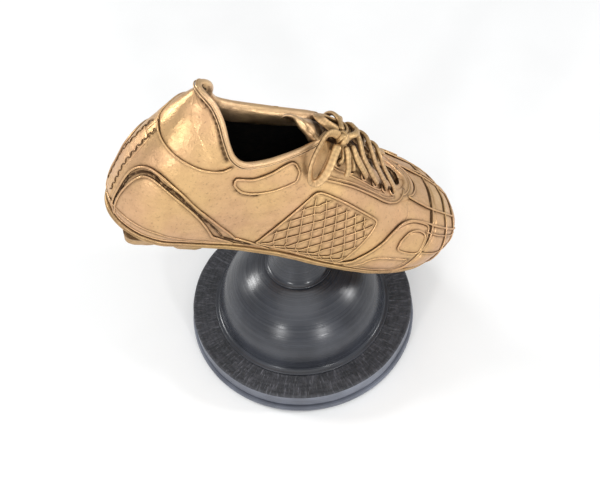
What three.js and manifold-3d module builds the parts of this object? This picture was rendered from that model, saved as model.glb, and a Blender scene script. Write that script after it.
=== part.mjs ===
// Figure trophy: a laced football boot, pitched toe down, on a turned black base.
// Millimetres. The origin is the centre of the underside, +X runs under the toe, +Z is up.
import * as THREE from 'three';
import { mergeVertices } from 'three/addons/utils/BufferGeometryUtils.js';
import Module from 'manifold-3d';

const wasm = await Module();
wasm.setup();

// ---------------------------------------------------------------- driving dimensions
const GAP = 0.3;

const FELT = { radius: 57, thickness: 1.2 };
const FOOT_DISC = { radius: 60, height: 2.6, access: 11 };
const PLINTH = { radius: 58.6, groove: 57.4, height: 10, recess: 9, recessDepth: 4.6 };
const DOME = { lip: 46.4, radius: 44, sink: 2.2, height: 40.5, seat: 17.6 };
const NECK = { lip: 17.1, waist: 9.2 };
const ROD = { radius: 3, top: 106.5 };
const NUT = { radius: 5.6, height: 3 };
const WASHER = { radius: 7.5, height: 1.2 };
const WEDGE = { radius: 6.6, top: 101 };
const TURNED_SIDES = 40;

const BOOT = { length: 182, pivotX: 76, x: -17, y: 1, z: 94, pitch: 28.5, roll: 6.5 };
const SHELL = 3.2;
const SOLE = { top: 4, margin: 1.2, chamfer: 0.9 };
const INSOLE = 1.8;
const TONGUE = 2.2;
const WIDEST = 12;
const HEEL_END = 0.14;
const TOE_START = 0.7;
const TOE_POWER = 2.2;
const TOE_SWING = 2.5;
const TUCK_SPAN = 0.3;
const TUCK = 0.08;
// How the heel leans in: over the whole top of its back, and again close to the sole.
const LEAN = { reach: 0.38, top: 17, from: 30, over: 52, bottom: 5, below: 16 };
// The seam between the quarters and the vamp slopes up and forward from the sole.
const VAMP_SEAM = { x: 116, slope: 38 };

const PANEL = { lift: 0.5, thickness: 0.8 };
const SECOND_LIFT = 1.7;
const LACE_RADIUS = 1.15;
const BINDING_RADIUS = 1.5;
const COLLAR_FRONT = 80;
const EYELET_RADIUS = 1.6;
const EYELETS = [[97, 0.69], [105, 0.7], [113, 0.72], [121, 0.745], [129, 0.775], [136, 0.81]];
const HEEL_STUD_PLACES = [[18, -13.5], [18, 12], [39, -14.5], [39, 12.5]];
const TOE_STUD_PLACES = [[114, -17], [114, 14], [137, -19.5], [137, 17.5], [160, -15], [160, 15]];
const SLOT = { start: 66, end: 127, rear: 7.6, front: 4.8, floor: 24, ceiling: 100 };
const HEEL_STUD = { length: 17, width: 8, height: 5 };
const TOE_STUD = { root: 5.4, tip: 3.6, height: 5.5 };

const BRONZE = { color: 0xb8924f, roughness: 0.38, metalness: 0.9 };
const DARK_BRONZE = { color: 0x5a4222, roughness: 0.6, metalness: 0.7 };
const LACQUER = { color: 0x24262b, roughness: 0.42, metalness: 0.1 };
const STEEL = { color: 0x9a9da0, roughness: 0.4, metalness: 0.9 };
const FELT_LOOK = { color: 0x15161a, roughness: 0.95, metalness: 0 };

// ---------------------------------------------------------------- small helpers
const clamp = THREE.MathUtils.clamp;
const radians = THREE.MathUtils.degToRad;
const vector = (x, y, z) => new THREE.Vector3(x, y, z);
const smoothstep = (a) => a * a * (3 - 2 * a);

// A smooth curve through [place, value] pairs that never overshoots them.
function profile(pairs) {
  const last = pairs.length - 1;
  const rise = [];
  for (let i = 0; i < last; i += 1) {
    rise.push((pairs[i + 1][1] - pairs[i][1]) / (pairs[i + 1][0] - pairs[i][0]));
  }
  const slope = pairs.map((pair, i) => {
    if (i === 0 || i === last) return rise[Math.min(i, last - 1)];
    if (rise[i - 1] * rise[i] <= 0) return 0;
    const before = pairs[i][0] - pairs[i - 1][0];
    const after = pairs[i + 1][0] - pairs[i][0];
    const weight = 3 * (before + after);
    return weight / ((2 * after + before) / rise[i - 1] + (after + 2 * before) / rise[i]);
  });
  return (place) => {
    const x = clamp(place, pairs[0][0], pairs[last][0]);
    const found = pairs.findIndex((pair) => pair[0] > x);
    const i = found < 1 ? last - 1 : found - 1;
    const span = pairs[i + 1][0] - pairs[i][0];
    const u = (x - pairs[i][0]) / span;
    const start = pairs[i][1] + u * span * slope[i];
    const end = pairs[i + 1][1] - (1 - u) * span * slope[i + 1];
    const curl = (1 - u) ** 2 * (1 + 2 * u) * pairs[i][1] + u ** 2 * (3 - 2 * u) * pairs[i + 1][1];
    return curl + (start - pairs[i][1]) * (1 - u) ** 2 + (end - pairs[i + 1][1]) * u ** 2;
  };
}

// A geometry with shared corners, no empty triangles and its faces pointing out.
function closed(points, faces) {
  const raw = new THREE.BufferGeometry().setFromPoints(points);
  raw.setIndex(faces.flat());
  const geometry = mergeVertices(raw, 1e-4);
  const index = geometry.getIndex().array;
  const place = geometry.getAttribute('position');
  const corner = (i) => vector(place.getX(i), place.getY(i), place.getZ(i));
  const kept = [];
  let volume = 0;
  for (let i = 0; i < index.length; i += 3) {
    const [a, b, c] = index.slice(i, i + 3);
    if (a !== b && b !== c && c !== a) {
      kept.push([a, b, c]);
      volume += corner(a).dot(corner(b).cross(corner(c)));
    }
  }
  geometry.setIndex(kept.flatMap((face) => (volume < 0 ? face.reverse() : face)));
  return geometry;
}

// Two triangles for each square of a grid whose rows are `width` points long.
function gridFaces(rows, width, first = 0, ring = false) {
  const faces = [];
  for (let i = 0; i < rows - 1; i += 1) {
    for (let j = 0; j < (ring ? width : width - 1); j += 1) {
      const a = first + i * width + j;
      const b = first + i * width + ((j + 1) % width);
      faces.push([a, a + width, b], [b, a + width, b + width]);
    }
  }
  return faces;
}

// A manifold-3d solid from a closed geometry, and a geometry back from a solid.
function toSolid(geometry) {
  const bare = geometry.clone();
  bare.deleteAttribute('normal');
  bare.deleteAttribute('uv');
  const merged = mergeVertices(bare, 1e-4);
  return new wasm.Manifold(new wasm.Mesh({
    numProp: 3,
    vertProperties: Float32Array.from(merged.getAttribute('position').array),
    triVerts: Uint32Array.from(merged.getIndex().array),
  }));
}

function toGeometry(solid) {
  const mesh = solid.getMesh();
  const geometry = new THREE.BufferGeometry();
  geometry.setAttribute('position', new THREE.BufferAttribute(Float32Array.from(mesh.vertProperties), 3));
  geometry.setIndex(Array.from(mesh.triVerts));
  return geometry;
}

const cut = (body, ...tools) => toGeometry(
  tools.reduce((solid, tool) => solid.subtract(toSolid(tool)), toSolid(body)),
);

// A turned piece: [radius, height] corners of its half section, about +Z.
function turned(corners, sides = TURNED_SIDES) {
  const outline = corners.map(([radius, height]) => new THREE.Vector2(radius, height));
  return new THREE.LatheGeometry(outline, sides).rotateX(Math.PI / 2);
}

// A turned piece with a bore: the half section closes on itself.
const turnedRing = (corners, sides) => turned([...corners, corners[0]], sides);

const rod = (radius, bottom, top, sides = 16) => turned(
  [[0, bottom], [radius, bottom], [radius, top], [0, top]],
  sides,
);

// ---------------------------------------------------------------- the boot's skin
// t runs 0 to 1 from the back of the heel to the toe. Widths are half widths.
const lateralWidth = profile([
  [0, 22], [0.28, 21.5], [0.42, 23.5], [0.56, 28.8], [0.7, 32.2], [0.84, 32.6], [1, 27],
]);
const medialWidth = profile([
  [0, 19.5], [0.28, 21], [0.42, 20], [0.56, 25], [0.7, 29.6], [0.84, 29], [1, 23.5],
]);
const ridgeHeight = profile([[0, 82], [0.15, 80], [0.3, 74], [0.5, 60.5], [0.7, 39], [0.9, 29.5], [1, 24]]);
const fullness = profile([[0, 1.9], [0.2, 2], [0.45, 2.2], [1, 2.3]]);
// The height of the collar's edge, against the distance from the back of the heel.
const lateralCollar = profile([
  [0, 82], [4, 80.5], [13, 72.5], [24, 63], [31, 57.5], [38, 55], [48, 57], [58, 61], [68, 65], [80, 68],
]);
const medialCollar = profile([
  [0, 82], [4, 80], [13, 70], [22, 61], [31, 56], [42, 55], [56, 56], [68, 59], [80, 68],
]);

// s runs along the side of the boot from the back seam, evenly spaced round heel and toe.
const HEEL_ARC = HEEL_END * BOOT.length * Math.PI / 2;
const TOE_ARC = (1 - TOE_START) * BOOT.length * Math.PI / 2;
const TOE_PLACE = HEEL_ARC + (TOE_START - HEEL_END) * BOOT.length;
const TOE_TIP = TOE_PLACE + TOE_ARC;

function station(s) {
  if (s < HEEL_ARC) return HEEL_END * (1 - Math.cos(Math.PI / 2 * s / HEEL_ARC));
  if (s < TOE_PLACE) return HEEL_END + (s - HEEL_ARC) / BOOT.length;
  const turn = Math.min((s - TOE_PLACE) / TOE_ARC, 1);
  return Math.min(TOE_START + (1 - TOE_START) * Math.sin(Math.PI / 2 * turn), 1);
}

// s for a distance from the back of the heel.
function placeOf(distance) {
  const t = distance / BOOT.length;
  if (t < HEEL_END) return HEEL_ARC * Math.acos(1 - t / HEEL_END) / (Math.PI / 2);
  return HEEL_ARC + (t - HEEL_END) * BOOT.length;
}

function toeRound(t) {
  const along = clamp((t - TOE_START) / (1 - TOE_START), 0, 1);
  return (1 - along ** TOE_POWER) ** (1 / TOE_POWER);
}

// A point of the skin. g is 0 at the lateral side's widest line, 1 on the ridge, 2 at the medial side's
// widest line, and beyond those it tucks under to the sole. A negative s is past the back seam.
function skin(s, g, inset = 0) {
  if (s < 0) return skin(-s, 2 - g, inset);
  const t = station(s);
  const lateral = g <= 1;
  const side = lateral ? g : 2 - g;
  const rise = clamp(side, 0, 1) * Math.PI / 2;
  const tuck = clamp(-side / TUCK_SPAN, 0, 1);
  const squareness = 2 / fullness(t);
  const heel = clamp((HEEL_END - t) / HEEL_END, 0, 1);
  const closing = Math.sqrt(1 - heel * heel) * toeRound(t);
  const width = ((lateral ? lateralWidth(t) : medialWidth(t)) - inset) * closing;
  const top = WIDEST + (ridgeHeight(t) - inset - WIDEST) * toeRound(t);
  const bottom = SOLE.top + inset;
  const tucked = bottom + (WIDEST - bottom) * (1 - tuck);
  const z = side >= 0 ? WIDEST + (top - WIDEST) * Math.sin(rise) ** squareness : tucked;
  const sideways = width * Math.max(Math.cos(rise), 0) ** squareness * (1 - TUCK * tuck * tuck);
  const back = 1 - smoothstep(clamp(t / LEAN.reach, 0, 1));
  const high = LEAN.top * clamp((z - LEAN.from) / LEAN.over, 0, 1.3) ** 1.5;
  const lean = high + LEAN.bottom * clamp(1 - z / LEAN.below, 0, 1) ** 2;
  const x = inset + t * (BOOT.length - 2 * inset) + back * lean;
  const y = (lateral ? -sideways : sideways) + TOE_SWING * clamp((t - 0.5) / 0.5, 0, 1) ** 2;
  return vector(x, y, z);
}

// The direction straight out of the skin.
function outward(s, g) {
  if (s > TOE_TIP - 0.5) return vector(1, 0, 0);
  const along = skin(s + 0.3, g).sub(skin(s - 0.3, g));
  const around = skin(s, g + 0.01).sub(skin(s, g - 0.01));
  return along.cross(around).normalize();
}

const above = (s, g, height) => skin(s, g).addScaledVector(outward(s, g), height);

// The place round the section where the skin reaches a height.
function heightToG(s, height) {
  const t = station(s);
  const level = clamp((height - WIDEST) / (ridgeHeight(t) - WIDEST), 0, 1);
  return Math.asin(level ** (fullness(t) / 2)) / (Math.PI / 2);
}

// The whole skin, or the same skin set in by a wall's thickness, as one closed form.
function loft(rows, arches, inset) {
  const around = [-TUCK_SPAN, -TUCK_SPAN / 2];
  for (let j = 0; j <= arches; j += 1) around.push(2 * j / arches);
  around.push(2 + TUCK_SPAN / 2, 2 + TUCK_SPAN);
  const points = [];
  for (let i = 0; i < rows; i += 1) {
    around.forEach((g) => points.push(skin(TOE_TIP * i / (rows - 1), g, inset)));
  }
  return closed(points, gridFaces(rows, around.length, 0, true));
}

// ---------------------------------------------------------------- cutting tools for the boot
function collarTool(height, medial) {
  const outline = new THREE.Shape();
  const last = 22;
  for (let i = 0; i <= last; i += 1) {
    const s = placeOf(COLLAR_FRONT * i / last);
    const edge = skin(s, heightToG(s, height(COLLAR_FRONT * i / last)));
    if (i === 0) outline.moveTo(edge.x, edge.z);
    else outline.lineTo(edge.x, edge.z);
  }
  outline.lineTo(COLLAR_FRONT, SLOT.ceiling);
  outline.lineTo(skin(0, 1).x, SLOT.ceiling);
  const tool = new THREE.ExtrudeGeometry(outline, { depth: BOOT.length / 4, bevelEnabled: false });
  tool.rotateX(Math.PI / 2);
  return medial ? tool.translate(0, BOOT.length / 4 - GAP / 10, 0) : tool.translate(0, GAP / 10, 0);
}

function slotTool() {
  const outline = new THREE.Shape();
  outline.moveTo(SLOT.start, -SLOT.rear);
  outline.lineTo(SLOT.end, -SLOT.front);
  outline.absarc(SLOT.end, 0, SLOT.front, -Math.PI / 2, Math.PI / 2, false);
  outline.lineTo(SLOT.start, SLOT.rear);
  const settings = { depth: SLOT.ceiling - SLOT.floor, bevelEnabled: false, curveSegments: 6 };
  return new THREE.ExtrudeGeometry(outline, settings).translate(0, 0, SLOT.floor);
}

// The rod's way through the boot, in the boot's own frame.
const bootMatrix = new THREE.Matrix4()
  .makeRotationFromEuler(new THREE.Euler(radians(BOOT.roll), radians(BOOT.pitch), 0, 'YXZ'))
  .setPosition(BOOT.x, BOOT.y, BOOT.z)
  .multiply(new THREE.Matrix4().makeTranslation(-BOOT.pivotX, 0, 0));
const intoBoot = bootMatrix.clone().invert();

const rodWay = () => rod(ROD.radius + GAP, BOOT.z - 2 * NECK.waist, ROD.top, 12).applyMatrix4(intoBoot);

// Everything on one side of a flat cut, as a box that is larger than the boot.
const beyond = (x, y, z) => new THREE.BoxGeometry(2 * BOOT.length, 2 * BOOT.length, 2 * BOOT.length)
  .translate(x * BOOT.length, y * BOOT.length, z * BOOT.length);

// Everything ahead of the vamp's seam, or everything behind it, moved `shift` along the boot.
const vampSide = (sign, shift) => beyond(sign, 0, 0)
  .rotateY(radians(VAMP_SEAM.slope))
  .translate(VAMP_SEAM.x + shift, 0, SOLE.top);

// ---------------------------------------------------------------- the boot's main pieces
// The whole upper, which the seams then part into a vamp and two quarters.
function upperShell() {
  const outside = loft(34, 20, 0);
  const inside = loft(24, 14, SHELL);
  return cut(
    outside,
    inside,
    collarTool(lateralCollar, false),
    collarTool(medialCollar, true),
    slotTool(),
    rodWay(),
  );
}

const vamp = (shell) => cut(shell, vampSide(-1, GAP / 2));

// One side of the rest: sign is 1 for the side at +Y and -1 for the side at -Y.
const quarter = (shell, sign) => cut(
  shell,
  vampSide(1, -GAP / 2),
  beyond(0, -sign, 0).translate(0, sign * GAP / 2, 0),
);

// The sole's plan, `margin` outside the line where the skin meets it.
function solePlan(margin, rows = 22) {
  const side = (edge, widest) => {
    const points = [];
    for (let i = 1; i < rows; i += 1) {
      const s = TOE_TIP * i / rows;
      const point = skin(s, edge);
      const out = outward(Math.min(s, TOE_TIP - 6), widest).setZ(0).setLength(Math.abs(margin));
      const step = Math.sign(margin);
      points.push(new THREE.Vector2(point.x + step * out.x, point.y + step * out.y));
    }
    return points;
  };
  const heel = new THREE.Vector2(skin(0, -TUCK_SPAN).x - margin, 0);
  const toe = skin(TOE_TIP, -TUCK_SPAN);
  const medial = side(2 + TUCK_SPAN, 2).reverse();
  return new THREE.Shape([heel, ...side(-TUCK_SPAN, 0), new THREE.Vector2(toe.x + margin, toe.y), ...medial]);
}

function outsole() {
  const thickness = SOLE.top - GAP;
  const plate = new THREE.ExtrudeGeometry(solePlan(SOLE.margin - SOLE.chamfer), {
    depth: thickness - 2 * SOLE.chamfer,
    bevelThickness: SOLE.chamfer,
    bevelSize: SOLE.chamfer,
    bevelSegments: 1,
  });
  return cut(plate.translate(0, 0, SOLE.chamfer), rodWay());
}

function insole() {
  const bottom = SOLE.top + SHELL + GAP;
  const margin = -(SHELL + 2.4);
  const sheet = new THREE.ExtrudeGeometry(solePlan(margin), { depth: INSOLE, bevelEnabled: false });
  return cut(sheet.translate(0, 0, bottom), rodWay());
}

function tongue() {
  const lift = -(SHELL + GAP + 0.35 + TONGUE);
  return panel(
    [[84, 0.76], [100, 0.73], [118, 0.72], [136, 0.72], [150, 0.78]],
    [[84, 1.24], [100, 1.27], [118, 1.28], [136, 1.28], [150, 1.22]],
    { lift, thickness: TONGUE, along: 10, across: 6 },
  );
}

// A round-sectioned piece along a path of points.
function tube(points, radius, steps, sides = 6) {
  const outline = new THREE.Shape();
  for (let i = 0; i < sides; i += 1) {
    const turn = 2 * Math.PI * i / sides;
    if (i === 0) outline.moveTo(radius, 0);
    else outline.lineTo(radius * Math.cos(turn), radius * Math.sin(turn));
  }
  const path = new THREE.CatmullRomCurve3(points);
  return new THREE.ExtrudeGeometry(outline, { steps, extrudePath: path, bevelEnabled: false });
}

// The rolled edge of the collar, from the throat's lateral corner round the heel tab to the medial one.
const BINDING_STOPS = [7, 10, 14, 19, 25, 32, 40, 50, 60, 69, 76];

function bindingPoint(distance, medial) {
  const edgeAt = (far) => {
    const s = placeOf(far);
    const g = heightToG(s, (medial ? medialCollar : lateralCollar)(far));
    return skin(s, medial ? 2 - g : g, SHELL / 2);
  };
  const point = edgeAt(distance);
  const along = edgeAt(distance + 1).sub(edgeAt(distance - 1));
  const away = vector(-along.z, 0, along.x).normalize();
  const sink = SHELL / 2 * clamp((82 - point.z) / 20, 0.2, 1) - 0.2;
  return point.addScaledVector(away, BINDING_RADIUS + GAP + sink);
}

function collarBinding() {
  const lateral = BINDING_STOPS.map((distance) => bindingPoint(distance, false)).reverse();
  const medial = BINDING_STOPS.map((distance) => bindingPoint(distance, true));
  const tip = bindingPoint(5.5, false).setY(0);
  return tube([...lateral, tip, ...medial], BINDING_RADIUS, 44);
}

// ---------------------------------------------------------------- sewn-on panels
// A thin sheet over the skin between two edges, each a list of [s, g] points.
function panel(lowEdge, highEdge, settings = {}) {
  const { lift, thickness, along, across } = { ...PANEL, along: 8, across: 3, ...settings };
  const low = new THREE.SplineCurve(lowEdge.map(([s, g]) => new THREE.Vector2(s, g)));
  const high = new THREE.SplineCurve(highEdge.map(([s, g]) => new THREE.Vector2(s, g)));
  const sheet = (height) => {
    const points = [];
    for (let i = 0; i <= along; i += 1) {
      for (let j = 0; j <= across; j += 1) {
        const place = low.getPoint(i / along).lerp(high.getPoint(i / along), j / across);
        points.push(above(place.x, place.y, height));
      }
    }
    return points;
  };
  const points = [...sheet(lift), ...sheet(lift + thickness)];
  const size = points.length / 2;
  const width = across + 1;
  const faces = gridFaces(along + 1, width, size);
  gridFaces(along + 1, width).forEach(([a, b, c]) => faces.push([a, c, b]));
  const rim = [];
  for (let j = 0; j < across; j += 1) rim.push([j, j + 1], [along * width + j + 1, along * width + j]);
  for (let i = 0; i < along; i += 1) rim.push([(i + 1) * width, i * width]);
  for (let i = 0; i < along; i += 1) rim.push([i * width + across, (i + 1) * width + across]);
  rim.forEach(([a, b]) => faces.push([a, a + size, b], [b, a + size, b + size]));
  return closed(points, faces.map(([a, b, c]) => [a, c, b]));
}

const mirrored = (edge) => edge.map(([s, g]) => [s, 2 - g]);

// Outlines of the panels that both sides have, as a low and a high edge on the lateral side.
const SIDE_PANELS = {
  heel_counter: {
    low: [[11, -0.2], [20, -0.2], [35, -0.2], [53, -0.2], [70, -0.2]],
    high: [[10, 0.1], [17, 0.25], [33, 0.215], [50, 0.085], [68, -0.13]],
    along: 14,
  },
  ankle_patch: {
    low: [[53, 0.33], [60, 0.295], [70, 0.325], [79, 0.4]],
    high: [[52, 0.375], [60, 0.385], [70, 0.415], [79.5, 0.46]],
  },
  saddle_panel: {
    low: [[78, -0.06], [92, -0.13], [106, -0.16], [119, -0.18]],
    high: [[92, 0.42], [104, 0.43], [116, 0.44], [128, 0.455]],
  },
  forefoot_panel: {
    low: [[124, -0.2], [132, -0.2], [140, -0.2], [148, -0.2], [155, -0.2]],
    high: [[125, -0.07], [133, 0.2], [140.5, 0.46], [151, 0.59], [164, 0.59]],
    across: 7,
  },
  toe_side_panel: {
    low: [[144, 0.24], [149, 0.22], [154, 0.21], [158, 0.21]],
    high: [[144.5, 0.35], [149, 0.46], [155, 0.5], [161, 0.475]],
    lift: SECOND_LIFT,
  },
};

const eyestayOuter = [
  [89, 0.5], [97, 0.53], [108, 0.58], [122, 0.635], [136, 0.7], [150, 0.82], [157, 1],
  [150, 1.18], [136, 1.3], [122, 1.365], [108, 1.42], [97, 1.47], [89, 1.5],
];
const eyestayInner = [
  [92, 0.77], [99, 0.775], [109, 0.79], [120, 0.8], [131, 0.825], [143, 0.88], [149.5, 1],
  [143, 1.12], [131, 1.175], [120, 1.2], [109, 1.21], [99, 1.225], [92, 1.23],
];

function eyestay() {
  const facing = panel(eyestayOuter, eyestayInner, { along: 30, across: 3 });
  const holes = EYELETS.flatMap(([s, g]) => [[s, g], [s, 2 - g]]).map(([s, g]) => {
    const turn = new THREE.Quaternion().setFromUnitVectors(vector(0, 0, 1), outward(s, g));
    const place = above(s, g, PANEL.lift);
    const hole = rod(EYELET_RADIUS, -3, 3, 6);
    return hole.applyQuaternion(turn).translate(place.x, place.y, place.z);
  });
  return cut(facing, ...holes);
}

const heelTab = () => panel(
  [[-17, 0.665], [-9, 0.7], [0, 0.79], [9, 0.7], [17, 0.665]],
  [[-17, 0.74], [-9, 0.82], [0, 0.87], [9, 0.84], [17, 0.755]],
);

const heelUpperPanel = () => panel(
  [[-42, 0.385], [-27, 0.395], [-12, 0.42], [0, 0.46], [12, 0.42], [27, 0.395], [42, 0.385]],
  [[-42, 0.41], [-30, 0.5], [-13, 0.62], [0, 0.74], [13, 0.62], [30, 0.5], [42, 0.405]],
  { along: 18 },
);

const backStay = () => panel(
  [[-5.5, -0.2], [-5.5, 0], [-5.5, 0.2], [-5.5, 0.38]],
  [[5.5, -0.2], [5.5, 0], [5.5, 0.2], [5.5, 0.38]],
  { along: 8 },
);

const capEdge = [
  [159, 0.02], [164, 0.25], [168.5, 0.5], [172, 0.8], [174, 1],
  [172, 1.2], [168.5, 1.5], [164, 1.75], [159, 1.98],
];
const toeCap = () => panel(capEdge, capEdge.map(([, g]) => [TOE_TIP, g]), { along: 16, across: 6 });

// ---------------------------------------------------------------- studs
function heelStud(x, y) {
  const half = HEEL_STUD.width / 2;
  const reach = HEEL_STUD.length / 2 - half;
  const outline = new THREE.Shape();
  outline.absarc(reach, 0, half, -Math.PI / 2, Math.PI / 2, false);
  outline.absarc(-reach, 0, half, Math.PI / 2, 3 * Math.PI / 2, false);
  const body = new THREE.ExtrudeGeometry(outline, {
    depth: HEEL_STUD.height - 3,
    bevelThickness: 1.5,
    bevelSize: 1,
    bevelOffset: -1,
    bevelSegments: 1,
    curveSegments: 5,
  });
  return body.translate(x, y, -HEEL_STUD.height + 1.5 - GAP);
}

function toeStud(x, y) {
  const foot = -GAP - TOE_STUD.height;
  const worn = 0.8;
  const corners = [
    [0, foot],
    [TOE_STUD.tip - worn, foot],
    [TOE_STUD.tip, foot + worn],
    [TOE_STUD.root, -GAP],
    [0, -GAP],
  ];
  return turned(corners, 12).translate(x, y, 0);
}

// ---------------------------------------------------------------- laces
// A lace follows [s, g, height over the skin] points.
const lace = (route, steps) => tube(route.map(([s, g, height]) => above(s, g, height)), LACE_RADIUS, steps);

// Strands over the top, each from a lateral eyelet, rearwards beside the slot and down into it.
const LACE_OVER = [
  [[105, 0.7, 1.9], [104.2, 0.73, 2.6], [102.8, 0.78, 2.9], [101.6, 0.84, 2.8]],
  [[113, 0.72, 1.9], [110.5, 0.715, 3.2], [106, 0.735, 4.8], [102, 0.775, 5.6], [98.8, 0.84, 5.8]],
  [
    [121, 0.745, 1.9], [118, 0.735, 3], [112, 0.77, 3.6], [107, 0.83, 4.2], [104.5, 0.93, 5.1], [103.7, 1.04, 4.6],
    [103.5, 1.11, 2.8], [103.5, 1.12, 1.2],
  ],
  [
    [129, 0.775, 1.9], [126.5, 0.785, 3], [121, 0.815, 3.6], [116, 0.86, 4.4], [112.5, 0.94, 5.1], [111.7, 1.04, 4.6],
    [111.5, 1.11, 2.8], [111.5, 1.12, 1.2],
  ],
  [
    [136, 0.81, 1.9], [134, 0.825, 3], [129, 0.865, 3.6], [124, 0.91, 4.4], [121, 0.98, 5.1], [120.2, 1.05, 4.6],
    [120, 1.1, 2.8], [120, 1.11, 1.2],
  ],
];

// The strand beneath it, from the medial eyelet of the same pair to the lateral side of the slot.
const laceUnder = ([s, g]) => [
  [s, 2 - g, 2.1],
  [s - 2.5, 1.94 - g, 3],
  [s - 6, 1.12, 2.8],
  [s - 8.5, 1.02, 2.4],
  [s - 10.5, 0.96, 1.6],
  [s - 11, 0.945, 0.6],
];

const KNOT = { s: 93.5, g: 0.875, height: 4.6, radii: [3.2, 4, 2.7] };

function laceKnot() {
  const centre = above(KNOT.s, KNOT.g, KNOT.height);
  const lump = new THREE.SphereGeometry(1, 14, 10).scale(...KNOT.radii);
  return lump.rotateY(radians(20)).translate(centre.x, centre.y, centre.z);
}

const LACE_ENDS = {
  lace_to_knot_lateral: [[97, 0.69, 1.9], [97.6, 0.72, 2.6], [96.6, 0.755, 2.6]],
  lace_to_knot_medial: [[97, 1.31, 1.9], [96.6, 1.24, 3], [95.6, 1.13, 4], [94.6, 1.02, 4.6]],
  bow_loop_lateral: [
    [88, 0.86, 5.2], [84.5, 0.825, 5], [82.2, 0.735, 4.6], [81.2, 0.635, 4.2], [82, 0.555, 3.8], [84.5, 0.49, 3.4],
    [87.5, 0.49, 3.4], [89.4, 0.55, 3.8], [90.2, 0.635, 4.2], [90.4, 0.72, 4.4], [90.6, 0.76, 4.6],
  ],
  bow_loop_medial: [
    [89.5, 0.99, 5.6], [86, 1.02, 5.8], [83.5, 1.1, 5.4], [83.5, 1.2, 5.4], [87, 1.29, 6],
    [93, 1.3, 7], [98, 1.24, 7.4], [100, 1.13, 7.4], [98, 1.02, 7],
  ],
  lace_tail_lateral: [
    [96.2, 0.765, 5.6], [98, 0.72, 5.2], [99.8, 0.67, 4.4], [100.6, 0.61, 3.4],
  ],
  lace_tail_medial: [
    [97.6, 0.93, 7.2], [101, 0.99, 7.6], [104, 1.06, 7.6], [106.5, 1.14, 6.6],
  ],
};

// ---------------------------------------------------------------- the turned base
const footBottom = FELT.thickness + GAP;
const footTop = footBottom + FOOT_DISC.height;
const plinthBottom = footTop + GAP;
const plinthTop = plinthBottom + PLINTH.height;
const domeBottom = plinthTop + GAP;
const domeTop = domeBottom - DOME.sink + DOME.height * Math.sqrt(1 - (DOME.seat / DOME.radius) ** 2);
const neckBottom = domeTop + GAP;
const boreRadius = ROD.radius + GAP;
const recessTop = plinthBottom + PLINTH.recessDepth;

const footDisc = () => turnedRing([
  [FOOT_DISC.access, footBottom],
  [FOOT_DISC.radius - 0.8, footBottom],
  [FOOT_DISC.radius, footBottom + 0.8],
  [FOOT_DISC.radius, footTop - 0.9],
  [FOOT_DISC.radius - 0.9, footTop],
  [FOOT_DISC.access, footTop],
]);

const plinthDisc = () => turnedRing([
  [PLINTH.recess, plinthBottom],
  [PLINTH.groove, plinthBottom],
  [PLINTH.groove, plinthBottom + 0.8],
  [PLINTH.radius, plinthBottom + 1.4],
  [PLINTH.radius, plinthTop - 1],
  [PLINTH.radius - 1, plinthTop],
  [boreRadius, plinthTop],
  [boreRadius, recessTop],
  [PLINTH.recess, recessTop],
]);

function dome() {
  const corners = [
    [boreRadius, domeBottom],
    [DOME.lip, domeBottom],
    [DOME.lip, domeBottom + 0.9],
    [DOME.radius + 1, domeBottom + 1.4],
  ];
  const steps = 7;
  const first = Math.asin((DOME.sink + 2.4) / DOME.height);
  const last = Math.acos(DOME.seat / DOME.radius);
  for (let i = 0; i <= steps; i += 1) {
    const turn = first + (last - first) * i / steps;
    corners.push([DOME.radius * Math.cos(turn), domeBottom - DOME.sink + DOME.height * Math.sin(turn)]);
  }
  corners.push([boreRadius, domeTop]);
  return turnedRing(corners);
}

// The neck sweeps up from its lip to a slim stem, whose top lies along the sloping sole.
function neck() {
  const corners = [
    [boreRadius, neckBottom],
    [NECK.lip, neckBottom],
    [NECK.lip, neckBottom + 0.9],
    [NECK.lip - 1.2, neckBottom + 1.4],
  ];
  const flare = NECK.lip - 1.6 - NECK.waist;
  for (let i = 1; i <= 6; i += 1) {
    corners.push([NECK.waist + flare * (1 - i / 6) ** 2.2, neckBottom + 1.6 + 4 * i]);
  }
  corners.push([NECK.waist, BOOT.z], [boreRadius, BOOT.z]);
  const boots = beyond(0, 0, 1).translate(0, 0, -GAP).applyMatrix4(bootMatrix);
  return cut(turnedRing(corners, 32), boots);
}

function nut(bottom) {
  const outline = new THREE.Shape();
  for (let i = 0; i < 6; i += 1) {
    const turn = Math.PI * i / 3;
    if (i === 0) outline.moveTo(NUT.radius, 0);
    else outline.lineTo(NUT.radius * Math.cos(turn), NUT.radius * Math.sin(turn));
  }
  const bore = new THREE.Path();
  bore.absarc(0, 0, boreRadius, 0, 2 * Math.PI, true);
  outline.holes.push(bore);
  const settings = { depth: NUT.height, bevelEnabled: false, curveSegments: 8 };
  return new THREE.ExtrudeGeometry(outline, settings).translate(0, 0, bottom);
}

const washer = (top) => turnedRing([
  [boreRadius, top - WASHER.height],
  [WASHER.radius, top - WASHER.height],
  [WASHER.radius, top],
  [boreRadius, top],
], 20);

// Flat on top and cut below along the sloping insole.
function wedgeWasher() {
  const insoleTop = SOLE.top + SHELL + GAP + INSOLE;
  const blank = turnedRing([
    [boreRadius, BOOT.z - 10],
    [WEDGE.radius, BOOT.z - 10],
    [WEDGE.radius, WEDGE.top],
    [boreRadius, WEDGE.top],
  ], 16);
  return cut(blank, beyond(0, 0, -1).translate(0, 0, insoleTop + GAP).applyMatrix4(bootMatrix));
}

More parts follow.
